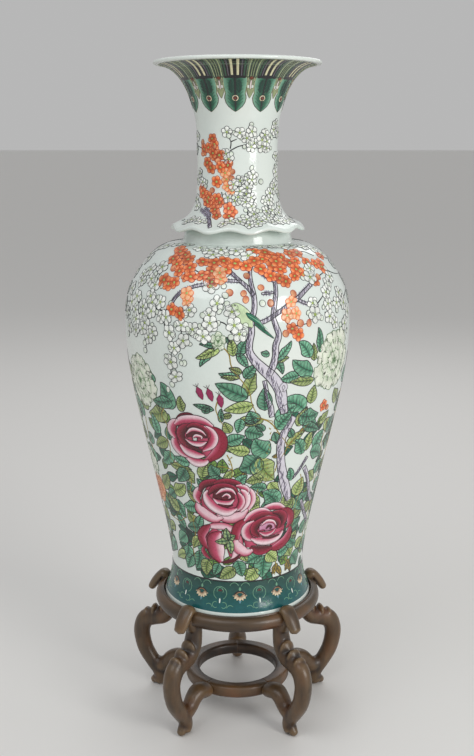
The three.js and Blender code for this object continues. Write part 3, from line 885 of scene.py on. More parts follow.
def leaf(jar, dark, main, pale, bend, veins=5, line_jar=black_lines, lift=0.22):
    """One leaf of unit length and width, from its stalk at the origin towards +X."""
    u = np.linspace(0, 1, 19)
    path = np.stack([u, bend * np.sin(np.pi * u)], axis=-1)[None]
    half_width = np.maximum(half_leaf(u), 0.006)[None]
    ribbed = 0.5 + 0.5 * np.cos(2 * np.pi * (veins + 1) * u)[:, None, None]
    across = shades([main, pale, main * 0.8, pale, main], len(AREA))[None]
    motif = Motif()
    motif.area(jar, path, half_width, lift, (ribbed * dark + (1 - ribbed) * across)[None] * 0.45 + 0.55 * across[None])
    motif.line(line_jar, rim(path, half_width)[:, ::2], 0.9, lift + 0.07, BLACK)
    motif.line(line_jar, path[:, ::3], 0.7, lift + 0.08, BLACK)
    base = np.linspace(0.14, 0.7, veins)
    reach = 0.86 * half_leaf(base + 0.12)
    for side in (-1, 1):
        start = np.stack([base, bend * np.sin(np.pi * base)], axis=-1)
        end = np.stack([base + 0.15, bend * np.sin(np.pi * base) + side * reach], axis=-1)
        middle = 0.5 * (start + end) + (0.025, 0)
        motif.line(line_jar, np.stack([start, middle, end], axis=1), 0.55, lift + 0.075, BLACK)
    return motif


LEAF_KINDS = {
    "teal": [leaf(teal, DEEP_TEAL, TEAL, PALE_TEAL, bend) for bend in LEAF_BENDS],
    "lime": [leaf(lime, DEEP_LIME, LIME, PALE_LIME, bend) for bend in LEAF_BENDS],
}
print("a leaf has", len(LEAF_KINDS["teal"][0].parts), "parts and comes in", *LEAF_KINDS)

# %% [markdown]
# ### Leaves behind the others
#
# Between the leaves that a painter places there are many small ones that only fill the ground.
# Chance can set those: they are scattered more thickly towards the foot, with some more at
# the two sides, and lie lower than the leaves in front.


# %% Leaves behind the others
def foliage(motif, angle, height, length, width, raised=0):
    """Leaves at these places, turned at random, with random sizes between these limits."""
    count = len(angle)
    motif.lay(BODY, angle, height, dice.uniform(0, 360, count), dice.uniform(*length, count),
              dice.uniform(*width, count), 1 + 0.2 * dice.uniform(-1, 1, (count, 1)), raised)
    print(count, "leaves behind")


for shade, count in ((ink(30, 102, 76), 160), (ink(110, 150, 68), 130)):
    behind = leaf(leaf_backs, 0.5 * shade, shade, 1.5 * shade, 0.06, veins=4, line_jar=back_lines, lift=0.12)
    foliage(behind, dice.uniform(-90, 270, count), 292 + 290 * dice.uniform(0, 1, count) ** 1.25, (22, 34), (14, 22))
    at_the_sides = np.repeat([88, -91], 26)
    foliage(behind, at_the_sides + dice.normal(0, 9, len(at_the_sides)), dice.uniform(300, 600, len(at_the_sides)),
            (24, 34), (15, 22), raised=0.1)

# %% [markdown]
# ### Leaves in front
#
# The large leaves lead the eye from the roses up to the plum, so each is placed one by one: where
# its stalk is, where its tip is, and how wide it is. The bend and the tint are left to chance.


# %% Leaves in front
def leaves(kind, text):
    """Leaves at "stalk angle,height,tip angle,height,width" places, and on the back."""
    rows = np.vstack(places(text))
    rows = np.vstack([rows, rows * (-1, 1, -1, 1, 1) + (180, 0, 180, 0, 0)])
    along, tip = BODY.at_height(rows[:, 1]), BODY.at_height(rows[:, 3])
    x = np.radians(rows[:, 2] - rows[:, 0]) * BODY.radius_at((along + tip) / 2)
    y = tip - along
    bends = dice.integers(0, len(LEAF_BENDS), len(rows))
    for bend, motif in enumerate(LEAF_KINDS[kind]):
        mine = bends == bend
        tint = 1 + 0.22 * dice.uniform(-1, 1, (mine.sum(), 1))
        motif.lay(BODY, rows[mine, 0], rows[mine, 1], np.degrees(np.arctan2(y, x))[mine],
                  np.hypot(x, y)[mine], 1.15 * rows[mine, 4], tint, dice.uniform(0, 0.14, mine.sum()))
    print(len(rows), kind, "leaves")


leaves("teal", """-11,697,-18,668,11 / -10,701,-18,704,8 / -3,708,-5,717,7 / 1,686,4,712,15 / 0,692,5,668,12 /
3,652,9,673,16 / 1,655,-9,659,10 / 5,618,-11,642,24 / 14,596,13,635,22 / 15,690,11,693,9 / 19,680,26,708,12 /
18,681,22,655,12 / 37,677,30,705,20 / 43,684,42,724,14 / 40,653,27,677,24 / 31,650,21,646,17 / 37,590,23,610,28
/ 22,574,32,600,26 / 35,580,49,577,27 / 9,574,6,596,22 / -38,590,-42,634,28 / -36,605,-50,600,20 /
-46,632,-54,643,15 / -54,655,-61,664,14 / -12,597,-23,604,10 / -17,590,-14,603,12 / -8,577,-8,600,9 /
2,583,0,558,15 / 4,562,14,553,22 / -6,540,4,553,20 / 19,520,9,548,30 / 12,516,1,493,36 / 21,563,29,588,26 /
39,582,49,558,24 / 38,562,53,545,16 / 32,543,29,561,12 / 22,540,20,557,13 / 41,508,34,537,22 / 51,513,59,542,28
/ 49,507,63,492,24 / 35,463,33,487,14 / 45,418,57,430,22 / 27,423,16,449,28 / 18,454,8,459,16 / 0,463,6,482,16 /
-11,480,-16,500,20 / -19,462,-11,481,14 / -22,457,-26,471,11 / -33,485,-41,458,22 / -30,499,-41,505,16 /
-43,512,-53,487,22 / -42,533,-41,560,18 / -51,538,-54,574,20 / -29,438,-34,462,16 / -47,436,-56,420,18 /
-28,421,-40,416,20 / -45,422,-40,390,18 / -30,380,-26,403,14 / -29,378,-40,374,18 / -50,388,-43,368,16 /
-43,357,-54,338,22 / -29,352,-31,322,16 / -43,336,-48,312,20 / -32,332,-37,295,22 / -40,320,-47,291,20 /
-15,313,-20,289,14 / 0,320,4,290,20 / 20,327,7,314,22 / 22,327,21,284,30 / 34,326,45,336,18 / 51,312,60,288,26 /
44,350,55,332,22 / 42,372,54,384,18 / 43,427,53,398,22 / 28,434,16,421,18 / 60,460,70,478,22 / 62,540,72,560,24
/ 58,350,68,372,24 / 66,330,74,306,24 / 64,430,78,440,22 / 74,500,66,526,24 / 78,560,70,590,22 /
-62,480,-72,500,24 / -58,400,-70,412,22 / -66,350,-76,372,24 / -60,332,-70,306,22 / -66,560,-74,592,24 /
-64,600,-76,612,22 / 72,620,84,640,24 / 80,330,86,300,24 / 82,400,76,370,24 / 84,470,78,440,22 /
-84,330,-78,300,24 / -80,420,-86,450,24 / -84,520,-76,545,24 / 86,540,80,512,22 / -60,530,-68,520,20 /
14,560,9,571,12 / 88,610,80,600,20 / -82,640,-88,668,20 / -80,590,-88,575,22""")
leaves("lime", """-9,699,-20,682,12 / -2,687,-3,716,14 / 2,660,-4,668,10 / 5,621,9,659,20 / 0,650,-8,652,8 /
8,606,-7,597,18 / 19,676,25,681,9 / 40,671,39,700,13 / 41,638,26,641,15 / 41,598,42,629,20 / 34,572,39,594,14 /
10,575,1,582,14 / -29,590,-30,616,15 / -3,589,-9,585,9 / -41,584,-57,573,26 / -47,597,-46,580,14 /
13,582,3,574,12 / -4,558,-7,577,15 / 7,524,-6,531,18 / 13,514,23,470,36 / 34,562,39,592,20 / 45,513,47,546,18 /
30,529,40,549,17 / 42,431,47,463,26 / 41,414,32,436,24 / 21,466,28,449,18 / 16,476,5,470,18 / 14,441,8,418,22 /
-3,491,-9,476,12 / -22,474,-18,499,18 / -32,487,-28,461,20 / -31,490,-46,489,16 / -44,531,-57,514,20 /
-48,437,-36,456,22 / -28,428,-35,446,14 / -62,438,-51,466,22 / -45,404,-56,426,22 / -30,384,-37,404,18 /
-30,357,-37,334,16 / -47,317,-61,301,16 / -24,317,-26,287,20 / -2,306,-15,284,20 / 2,337,8,318,14 /
16,304,6,285,22 / 24,331,34,311,22 / 42,331,49,311,22 / 43,389,54,402,18 / 40,430,33,408,24 / 14,431,5,413,20 /
53,470,62,450,20 / 60,560,68,538,22 / 56,392,66,404,20 / 68,390,76,404,22 / 56,322,66,334,20 / 72,480,82,462,22
/ -70,440,-62,420,20 / -72,390,-64,370,20 / -56,365,-66,352,18 / -70,530,-80,520,22 / 72,346,84,352,20 /
-74,462,-84,480,20 / -76,350,-84,362,20 / 70,590,62,612,22 / 80,655,88,640,20 / -70,628,-80,650,20 /
84,420,74,414,20 / -88,400,-78,392,20 / 52,560,60,575,16 / -56,590,-64,580,18 / 48,345,52,360,14 /
-22,505,-14,508,10 / 88,380,80,350,18""")

# %% [markdown]
# ### Stems and thorns
#
# The rose's stems are ochre. They run from leaf to leaf, thick at the root and thin at the tip,
# with short thorns here and there.

# %% Stems
OCHRE, BROWN, PALE_OCHRE = ink(150, 130, 50), ink(96, 74, 36), ink(186, 164, 70)
twigs(BODY, """-7,702 -4,690 -3,672 0,655 3,643 6,626 7,611 9,596 12,584 19,576 / 10,584 16,577 20,566 24,550
28,536 29,525 27,513 24,498 23,484 17,466 / 29,526 33,540 38,552 42,562 / -6,519 -4,506 -3,491 -4,474 -6,462 /
-3,492 -8,497 -12,497 / 13,455 12,440 10,430 / -10,612 -11,598 -9,580 -6,565 / -42,590 -45,575 -42,560 -44,540
-43,520 -44,500 -38,488 / -30,425 -33,440 -31,455 -30,470 / -32,400 -34,385 -33,368 -36,350 -38,330 -36,315 /
-40,392 -48,380 -60,384 / 33,310 34,298 33,285 / 43,312 46,300 48,287 / 44,470 47,450 46,430 45,405 46,385
44,360 43,340 / 60,560 62,540 60,520 64,500 66,470 64,440 / 66,410 68,380 66,350 68,320 / -64,560 -66,530
-64,500 -68,470 -66,440 -68,400 -66,370 -68,330 / 78,600 76,570 80,540 78,500 80,460 78,420 80,380 78,340 /
-78,620 -80,580 -78,540 -82,500 -80,460 -82,410 -80,370 -82,330""", 1.2, stems, OCHRE)
thorn = Motif()
thorn.line(stems, np.array([[(0, 0), (0.5, 0.25), (1, 0.5)]]), np.array([[1.4, 0.9, 0.1]]), 0.34, OCHRE)
thorn_spots = along_runs("""-3,515 -6,505 -3,498 -5,488 -3,480 / 25,548 28,540 29,528 33,538 27,515 36,548 /
22,556 18,572 17,470 23,490""", 9)
thorn.lay(BODY, thorn_spots[:, 0], thorn_spots[:, 1], dice.uniform(0, 360, len(thorn_spots)), 4.5)
ochre_leaf = leaf(stems, BROWN, OCHRE, PALE_OCHRE, 0.2, veins=3)
ochre_leaf.lay(BODY, [33, 34, 46, 47, 27, 37, 4, 176], [306, 298, 306, 300, 520, 545, 470, 300],
               [250, 300, 260, 290, 200, 40, 80, 250], 20, 11)
print(len(thorn_spots), "thorns")

# %% [markdown]
# ## Peonies
#
# A peony is drawn as rings of petals, each ring smaller, higher and turned against the last. A
# petal is a crescent: a path round the heart, with its width across the path, so its shading
# runs from deep at the heart to pale near the rim.


# %% Flower heads
PALE_GREEN = (white_petals, ink(120, 170, 112), ink(206, 226, 192), ink(240, 244, 228), lime, ink(70, 110, 60))
DEEP_ORANGE = (coral_petals, DEEP_CORAL, CORAL, PALE_CORAL, coral_petals, DEEP_CORAL)
OPEN_RINGS = [(6, 0.74, 0.27, 37, 0), (5, 0.52, 0.24, 46, 30), (4, 0.34, 0.18, 60, 70), (3, 0.2, 0.13, 75, 10),
              (2, 0.1, 0.08, 100, 80)]
PEONY_RINGS = [(7, 0.7, 0.34, 33, 0), (5, 0.44, 0.3, 45, 20), (3, 0.18, 0.2, 72, 40)]
HEAD_LIFT, RING_STEP, PETAL_STEP = 0.36, 0.07, 0.012
STREAKED_RINGS = 3


def flower_head(rings, jar, inner, middle, rim_colour, line_jar, line_colour, ruffle=0.02, streaks=True):
    """rings: (petals, distance of their middle from the heart, half width, half sweep in
    degrees, turn). The whole head has a radius of one. A petal's path is an arc whose radius
    waves by the ruffle, and its width falls from its middle as one less a power of the way."""
    motif = Motif()
    for ring, (count, distance, half_width, sweep, turn) in enumerate(rings):
        t = np.linspace(-1, 1, 11)
        heading = turn + np.arange(count)[:, None] * 360 / count + dice.uniform(-7, 7, (count, 1))
        along = np.radians(heading + sweep * t)
        far = distance * dice.uniform(0.93, 1.07, (count, 1)) + ruffle * np.sin(3.2 * np.pi * t + ring)
        path = np.stack([far * np.cos(along), far * np.sin(along)], axis=-1)
        width = np.maximum(half_width * (1 - abs(t) ** 2.6) ** 0.6, 0.01) * dice.uniform(0.9, 1.1, (count, 1))
        deep = shades([inner, inner, middle, rim_colour, rim_colour, middle], len(AREA))
        side = shades([0.75 * np.ones(3), np.ones(3), 0.9 * np.ones(3)], len(t))
        level = HEAD_LIFT + RING_STEP * ring
        for petal in range(count):
            one = slice(petal, petal + 1)
            motif.outlined(jar, path[one], width[one], level + PETAL_STEP * petal,
                           side[None, :, None] * deep[None, None], line_jar, line_colour, 0.6)
        if streaks and ring < STREAKED_RINGS:
            across = np.radians(heading + sweep * np.linspace(-0.6, 0.6, 5)).ravel()
            out = distance + half_width * np.array([-0.1, 0.25, 0.6])
            streak = out[None, :, None] * np.stack([np.cos(across), np.sin(across)], axis=-1)[:, None]
            motif.line(jar, streak, 0.35, level + 0.085, inner)
    return motif


def peony(angle, height, turn, size):
    """A pale green peony, with its petals drawn anew each time."""
    flower_head(PEONY_RINGS, *PALE_GREEN, ruffle=0.04, streaks=False).lay(BODY, angle, height, turn, size)
    print("peony at", angle, "degrees,", height, "mm up")


for turned, side in FRONT_AND_BACK:
    for angle, height, turn, size in [(56, 664, 0, 50), (-60, 628, 30, 44), (-78, 470, 60, 38)]:
        peony(turned + side * angle, height, turn, size)
    flower_head(OPEN_RINGS, *DEEP_ORANGE).lay(BODY, turned + side * -72, 430, 0, 30)
for angle, height, size in [(96, 452, 40), (-86, 556, 38), (84, 352, 28)]:
    peony(angle, height, 20, size)

# %% [markdown]
# ## Roses
#
# A full rose has no regular rings, so each of its petals is one long brush stroke that follows
# a fold: a run of places with a half width at each. They are painted from the outermost in,
# each a little higher than the last, and shaded across the stroke from blush to crimson.

# %% Roses petal by petal
DARK_ROSE, CRIMSON, ROSE, BLUSH = ink(84, 10, 26), ink(146, 22, 52), ink(200, 78, 112), ink(238, 202, 212)
PALE_BLUSH, ROSE_LINE = ink(246, 226, 232), ink(58, 12, 24)
PETAL_SHADES = {
    "under": [CRIMSON, ROSE, CRIMSON],
    "rim": [BLUSH, PALE_BLUSH, ROSE, CRIMSON, DARK_ROSE],
    "pale": [CRIMSON, ROSE, BLUSH, BLUSH, ROSE],
    "blush": [BLUSH, PALE_BLUSH, ROSE, CRIMSON],
    "deep": [DARK_ROSE, CRIMSON, CRIMSON, ROSE, BLUSH],
    "dark": [ROSE, CRIMSON, DARK_ROSE, DARK_ROSE],
    "heart": [CRIMSON, DARK_ROSE, DARK_ROSE, CRIMSON],
    "mauve": [ROSE, ink(214, 158, 186), ink(200, 130, 166), CRIMSON],
}
OUTERMOST_LIFT, FOLD_STEP = 0.46, 0.055


def rose(text):
    """One petal a line, from the outermost in: its shading, then "angle,height,half width"
    places. The shading runs from the left of the stroke to its right."""
    lines = text.splitlines()
    for order, line in enumerate(lines):
        kind, stroke = line.split(maxsplit=1)
        points, colours = places(stroke)[0], shades(PETAL_SHADES[kind], len(AREA))
        lift = OUTERMOST_LIFT + FOLD_STEP * order
        for petal, shading in ((points, colours), (mirrored(points), colours[::-1])):
            brush(BODY, petal, lift, shading, rose_petals, rose_lines, ROSE_LINE, line=0.6)
    print("a rose of", len(lines), "petals")


rose("""under -31,515,8 -31,535,17 -30,565,10
under -16,515,8 -17,535,17 -18,565,10
heart -35,569,3 -31,580,5 -26,584,5 -22,581,2
deep -14,567,3 -10,556,9 -9,541,11 -11,524,10 -16,511,6 -20,506,2
blush -17,507,3 -21,502,7 -26,502,8 -31,509,4
rim -30,509,3 -35,517,8 -38,529,9 -37,543,4
rim -37,540,4 -39,552,9 -37,565,8 -33,573,3
rim -36,564,3 -31,573,8 -24,577,9 -18,576,7 -13,568,3
blush -19,516,2 -24,515,7 -30,520,8 -34,530,3
dark -26,525,2 -31,535,7 -33,549,8 -30,562,6 -26,569,2
rim -20,569,2 -15,562,6 -13,549,8 -15,535,7 -20,524,2
dark -28,563,2 -24,568,5 -19,565,6 -16,556,5 -16,548,2
heart -29,545,1 -26,555,8 -21,556,10 -17,548,1
blush -29,551,1 -25,560,4 -20,559,3 -17,552,1
blush -17,541,1 -21,536,5 -26,536,4 -30,542,1
blush -25,546,1 -23,550,3 -20,549,2.5 -20,545,1
heart -30,533,1 -25,527,2.5 -20,524,1""")
rose("""under -21,400,8 -18,430,17 -16,460,8
under -4,405,8 -5,430,17 -5,462,8
rim 4,462,2 8,450,7 9,436,8 7,422,6 5,411,2
pale 7,419,2 3,408,8 -4,402,10 -10,403,8 -14,409,3
pale -10,402,2 -16,399,8 -22,405,10 -27,415,9 -28,426,3
rim -26,425,3 -28,436,7 -26,448,7 -23,456,3
dark -25,448,3 -22,461,6 -16,468,6 -11,470,3
dark -15,465,3 -10,470,5 -4,470,6 1,465,5 3,456,3
rim -1,463,2 2,462,5 6,456,5 6,446,2
blush 2,456,2 5,449,6 6,438,7 5,426,6 2,415,2
rim 0,451,2 2,443,5 3,433,6 1,422,5 -3,416,2
blush 0,421,2 -7,414,8 -14,419,9 -19,430,9 -21,443,5 -19,452,2
dark -19,445,2 -15,456,6 -9,462,6 -3,459,5 0,451,2
heart -16,439,1 -12,446,10 -6,446,11 -2,438,1
blush -14,446,1 -9,455,4 -4,455,3.5 -1,447,1
blush -2,438,1 -6,431,5 -12,431,5 -16,438,1
heart -13,428,1 -8,425,2.5 -3,427,1
blush -10,442,1 -7,447,2.5 -5,443,2.5 -6,440,1""")
rose("""under 10,345,8 12,375,19 14,405,8
under 30,345,8 29,375,19 28,405,8
rim 15,411,3 21,419,6 28,419,7 34,411,4 36,404,2
deep 30,411,3 36,405,8 41,394,9 42,381,7 39,372,2
deep 43,373,3 43,360,8 40,348,10 33,340,9 26,339,3
dark 28,341,3 22,338,8 16,339,9 10,346,3
pale 12,340,3 7,336,8 2,342,10 -1,353,8 -1,362,3
deep 0,361,3 -1,373,8 1,386,9 4,395,6 7,400,2
rim 5,396,3 9,406,7 14,413,7 19,414,5 23,410,2
dark 9,391,2 12,401,6 18,406,7 25,403,6 31,396,2
dark 25,409,2 31,405,6 35,396,7 35,385,5 32,377,2
rim 14,359,2 8,365,7 6,377,8 8,388,7 12,396,2
blush 36,369,2 32,360,7 24,355,8 16,357,7 10,363,2
dark 16,365,2 12,376,6 13,388,7 19,397,6 26,396,6 31,386,5 30,376,2
mauve 16,378,1 19,384,9 24,383,10 28,377,1
blush 17,386,1 21,393,3.5 26,391,3 29,383,1
rim 29,378,1 26,371,4 21,369,5 16,374,1
heart 21,379,1 23,384,2.5 25,381,2 24,378,1
heart 33,363,1 26,361,2.5 19,362,1""")
rose("""under -17,320,8 -18,350,17 -15,378,8
under -4,328,5 -4,350,10 -6,378,6
pale -23,382,2 -17,385,6 -10,386,7 -4,381,6 0,373,2
deep -23,338,2 -27,350,7 -28,364,8 -24,377,7 -20,386,2
pale -3,379,3 -1,366,9 0,350,10 0,336,9 -3,324,5 -8,319,2
rim -13,374,4 -17,361,13 -17,345,15 -16,330,13 -13,316,4
deep -27,342,2 -28,334,4 -26,326,4 -22,320,1
heart 2,333,1 -2,323,3 -8,318,3 -13,316,1""")

# %% [markdown]
# ### Sepals
#
# The lowest rose turns its back, so a small star of green sepals lies over its petals.

# %% Sepals
sepal = leaf(teal, DEEP_TEAL, TEAL, PALE_LIME, 0.1, veins=3, lift=0.9)
for turned, side in FRONT_AND_BACK:
    sepal.lay(BODY, turned + side * np.full(4, -6.5), 360, [98, 190, 275, 40], [24, 24, 27, 15], 13)
print("sepals laid on", len(FRONT_AND_BACK), "roses")

# %% [markdown]
# ## The bird, buds and hanging bells
#
# A small green bird sits in the fork of the plum. It is a handful of strokes: a pale breast, a
# dark wing with three feather lines, and a long tail. Three magenta bells hang on the left.

# %% Bird
BREAST, WING = ink(200, 220, 178), ink(44, 112, 86)
IN_LIME, IN_TEAL = (lime, black_lines, BLACK), (teal, black_lines, BLACK)
BIRD = [
    ([(-3, 766, 1), (-1, 764, 6), (1, 758, 9), (3, 749, 11), (5, 740, 8), (7, 732, 1)], 0.5, BREAST, IN_LIME),
    ([(4, 754, 1), (6, 749, 4), (9, 742, 4), (11, 734, 2.5), (13, 726, 0.6)], 0.62, WING, IN_TEAL),
    ([(8, 738, 1.5), (11, 730, 2.4), (14, 722, 2), (17, 714, 0.5)], 0.58, WING, IN_TEAL),
    ([(-1.6, 766.5, 1), (-1.2, 765.5, 1.2), (-0.8, 764.5, 0.6)], 0.75, BLACK, (black_lines,)),
    ([(-2.8, 765, 1), (-4, 763, 0.7), (-5, 761.5, 0.2)], 0.6, BLACK, (black_lines,)),
]
FEATHERS = [[(5 + k, 751 - 2 * k, 0.4), (9 + k, 742 - 2 * k, 0.4), (12 + k, 732 - 2 * k, 0.3)] for k in range(3)]
BIRD += [(feather, 0.66, PALE_TEAL, (teal,)) for feather in FEATHERS]
print("a bird has", len(BIRD), "strokes")

# %% Bells
MAGENTA = ink(150, 34, 84)
BELL_LIFT = 0.46
bell = Motif()
bell.outlined(rose_petals, np.array([[(0, 0), (0.3, 0), (0.7, 0), (1, 0)]]), np.array([[0.02, 0.13, 0.16, 0.03]]),
              BELL_LIFT, MAGENTA, rose_lines, ROSE_LINE, 0.35)
bell.line(rose_lines, np.array([[(1, 0), (1.25, 0.15)], [(1, 0), (1.28, 0)], [(1, 0), (1.25, -0.15)]]), 0.35,
          BELL_LIFT + 0.04, ROSE_LINE)
print("a bell has", len(bell.parts), "parts")

# %% Bird, bells and a half-open bud on both sides
for turned, side in FRONT_AND_BACK:
    for points, lift, colour, jars in BIRD:
        brush(BODY, points if side == 1 else mirrored(points), lift, colour, *jars)
    for angle, height, turn in [(-17.5, 614, 112), (-12.5, 612, 108), (-8, 602, 98)]:
        bell.lay(BODY, turned + side * angle, height, turn if side == 1 else 180 - turn, 22, 34)
    half_open = flower_head([(5, 0.5, 0.42, 40, 90), (3, 0.25, 0.25, 60, 90)], *PALE_GREEN)
    half_open.lay(BODY, turned + side * -9, 710, 0, 13, 17)
print("birds, bells and buds laid on", len(FRONT_AND_BACK), "sides")

# %% [markdown]
# ## The bands
#
# The foot stands in a teal band with eleven lotus heads, scrolls between them and a border of
# small arches. Under the lip hang eleven large lappets, each with an eye near its tip, and a
# fan of dark and cream bars spreads above them to the lip. The ground of a band is a hoop, and
# each of its drawings is a motif, laid once in every bay.

# %% Hoops of enamel
band_ground = Jar("foot_band_ground", GREEN_ENAMEL)
band_drawing = Jar("foot_band_drawing", ROSE_ENAMEL)
band_dark = Jar("foot_band_dark_lines", IRON_ENAMEL)
lappet_green = Jar("mouth_lappets", GREEN_ENAMEL)
lappet_dark = Jar("mouth_dark_lines", IRON_ENAMEL)
lappet_cream = Jar("mouth_cream_lines", ROSE_ENAMEL)
BAY_COUNT = 11
BAYS = np.arange(BAY_COUNT) * 360 / BAY_COUNT
HALF_BAY = 180 / BAY_COUNT
HOOP_COLUMNS, HOOP_ROWS = 265, 9


def hoop(jar, surface, low, high, lift, colours):
    """A band of enamel right round the vase. Its rows run down from the upper height, and its
    first and last are sunk."""
    angle = np.linspace(0, 2 * np.pi, HOOP_COLUMNS)[:, None] * np.ones(HOOP_ROWS)
    share = np.r_[0, np.linspace(0.03, 0.97, HOOP_ROWS - 2), 1]
    from_top, depth = surface.at_height(high), surface.at_height(low) - surface.at_height(high)
    along = (from_top + depth * share) * np.ones_like(angle)
    lifts = np.where((share == 0) | (share == 1), SUNK, lift)
    jar.take(surface.place(angle, along, np.broadcast_to(lifts, angle.shape))[None], shades(colours, HOOP_ROWS))


GROUND_LIFT, BORDER_LIFT, DRAWING_LIFT = 0.24, 0.32, 0.44
GROUND_SHADES = [ink(16, 58, 50), ink(20, 76, 70), ink(24, 88, 88), ink(28, 94, 100)]
hoop(band_ground, BODY, 227.2, 279.5, GROUND_LIFT, GROUND_SHADES)
hoop(band_dark, BODY, 279, 281.4, BORDER_LIFT, [BLACK, BLACK])
print("foot band with", BAY_COUNT, "bays of", round(2 * HALF_BAY, 1), "degrees")

# %% Lotus heads
PALE_LINE, CREAM = ink(112, 164, 132), ink(222, 204, 172)
LOTUS_ROOT, LOTUS_GOLD, LOTUS_BLUE = ink(120, 74, 48), ink(150, 106, 66), ink(96, 146, 160)
BAND_MIDDLE, BAND_TURNED = 257, 2

lotus = Motif()
fan = np.radians(np.linspace(-172, -8, 7))
ray = np.stack([np.cos(fan), 0.85 * np.sin(fan)], axis=-1)
petals = ray[:, None] * np.linspace(3, 12.5, 6)[:, None]
lotus.area(band_drawing, petals, np.tile([0.5, 1.2, 1.9, 2.1, 1.5, 0.05], (7, 1)), 0.42,
           shades([LOTUS_ROOT, CREAM, CREAM], 6)[None, :, None])
lotus.line(band_dark, circle(10.5, 14, (0, -4), 12, 156)[None], 1.5, 0.46, BLACK)
lotus.line(band_drawing, circle(8, 12, (0, -3.5), 10, 160)[None], 0.9, 0.5, LOTUS_GOLD)
lotus.area(band_drawing, np.array([[(0, 7.5), (0, 9.5), (0, 12), (0, 14)]]), np.array([[1.2, 2.3, 1.6, 0.05]]),
           DRAWING_LIFT, PALE_LINE)
lotus.area(band_drawing, np.array([[(0, -10), (0, -12.5), (0, -15)]]), np.array([[2.6, 1.6, 0.05]]), DRAWING_LIFT,
           LOTUS_BLUE)
arches = np.stack([circle(7.5, 11, (x, 14), 15, 150) for x in (-9.5, 9.5)])
lotus.line(band_drawing, arches, 0.6, DRAWING_LIFT, PALE_LINE)

# %% Scrolls between them
scroll = Motif()
circles = [circle(11.5, 22, (0, 2), -60, 300), circle(5.5, 12, (0, 6), 200, -230)]
curls = [circle(5, 12, (x, -18.5), start, sweep) for x, start, sweep in ((-7.5, 60, 250), (7.5, 120, -250))]
tails = [circle(6, 10, (x, -24), start, sweep) for x, start, sweep in ((-19, 10, 130), (19, 170, -130))]
for lines in (circles[:1], circles[1:], curls, tails):
    scroll.line(band_drawing, np.stack(lines), 0.62, DRAWING_LIFT, PALE_LINE)
scroll.area(band_drawing, np.array([[(0, -15), (0, -12), (0, -9), (0, -7)]]), np.array([[0.9, 1.3, 1.3, 0.7]]), 0.48,
            ink(226, 234, 226))
scroll.area(band_dark, np.array([[(-4, 6), (0, 7), (4, 6)]]), np.array([[0.3, 2.4, 0.3]]), 0.42, ink(86, 34, 34))

lotus.lay(BODY, BAND_TURNED + BAYS, BAND_MIDDLE)
scroll.lay(BODY, BAND_TURNED + HALF_BAY + BAYS, BAND_MIDDLE)
print(BAY_COUNT, "lotus heads and", BAY_COUNT, "scrolls")

# %% [markdown]
# ### Lappets under the lip
#
# A lappet is a tongue of dark green that hangs from the lip, paler at its edge, with a spine,
# barbs like a feather's and a round eye at its tip. Small grey-green tongues fill the gaps.

# %% Lappets
LAPPET_EDGE, LAPPET_MIDDLE, LAPPET_SPINE = ink(128, 176, 152), ink(44, 112, 84), ink(10, 42, 34)
LAPPET_HALF = [LAPPET_EDGE, LAPPET_EDGE, LAPPET_MIDDLE]
LAPPET_SHADES = np.stack([*LAPPET_HALF, LAPPET_SPINE, *LAPPET_HALF[::-1]])
LAPPETS_TURNED = -2.5

lappet = Motif()
up = np.array([-21, -18, -13, -7, 0, 4, 7, 12, 18, 25, 33.0])
reach = np.array([0.3, 5, 11, 15, 17, 16.6, 15.6, 16.8, 18.4, 19.4, 19.6])[None]
path = np.stack([0 * up, up], axis=-1)[None]
lappet.area(lappet_cream, path * (1, 1.02), reach + 1.0, 0.26, ink(176, 190, 140))
lappet.area(lappet_green, path, reach, 0.34, LAPPET_SHADES[None, None])
lappet.line(lappet_dark, rim(path, reach), 0.7, 0.42, BLACK)
for x in (-6.2, 6.2):
    upright = np.array([[(x, 8), (x, 12), (x, 18), (x, 25), (x, 30)]])
    lappet.area(lappet_green, upright, np.array([[0.3, 3.6, 4.6, 4.2, 2]]), 0.42, ink(16, 66, 52))
    lappet.line(lappet_dark, upright + (0.6 * np.sign(x), 0), 0.3, 0.5, BLACK)
lappet.area(lappet_dark, path, np.interp(up, [-21, -16, 33], [0.1, 0.7, 1.2])[None], 0.47, BLACK)
for x in (-1, 1):
    barbs = [[(0, low), (x * 6, low + 3), (x * 12, low + 8)] for low in np.linspace(-13, 22, 8)]
    lappet.line(lappet_dark, np.stack(barbs), 0.5, 0.46, ink(12, 52, 40))
eye_path, eye_width = (v[None] for v in disc((0, 0), 1, rows=7))
for size, jar, colour, lift in ((5, lappet_cream, CREAM, 0.52), (3.6, lappet_dark, BLACK, 0.58),
                                (1.9, lappet_cream, ink(132, 62, 40), 0.64)):
    lappet.area(jar, size * eye_path, size * eye_width, lift, colour)

# %% Small tongues between the lappets
between = Motif()
between.outlined(lappet_green, np.array([[(0, -14), (0, -9), (0, -4), (0, 2)]]), np.array([[0.2, 3, 5, 5.5]]), 0.3,
                 ink(150, 160, 118), lappet_dark, ink(70, 64, 48), 0.4)
between.outlined(lappet_cream, np.array([[(0, 0), (0, 4), (0, 10), (0, 15)]]), np.array([[0.9, 1.3, 1.5, 1.1]]), 0.4,
                 ink(236, 226, 222), lappet_dark, ink(84, 46, 36), 0.45)
sides = np.stack([[(x, 20), (1.3 * x, 12), (1.1 * x, 2), (1.5 * x, -6)] for x in (-4.6, 4.6)])
between.line(lappet_cream, sides, 0.5, 0.42, ink(206, 204, 160))
between.area(lappet_dark, 3.2 * eye_path + (0, 19), 3 * eye_width, 0.44, ink(112, 52, 26))

lappet.lay(NECK, LAPPETS_TURNED + BAYS, 1078)
between.lay(NECK, LAPPETS_TURNED + HALF_BAY + BAYS, 1091)
print(BAY_COUNT, "lappets and", BAY_COUNT, "tongues between them")

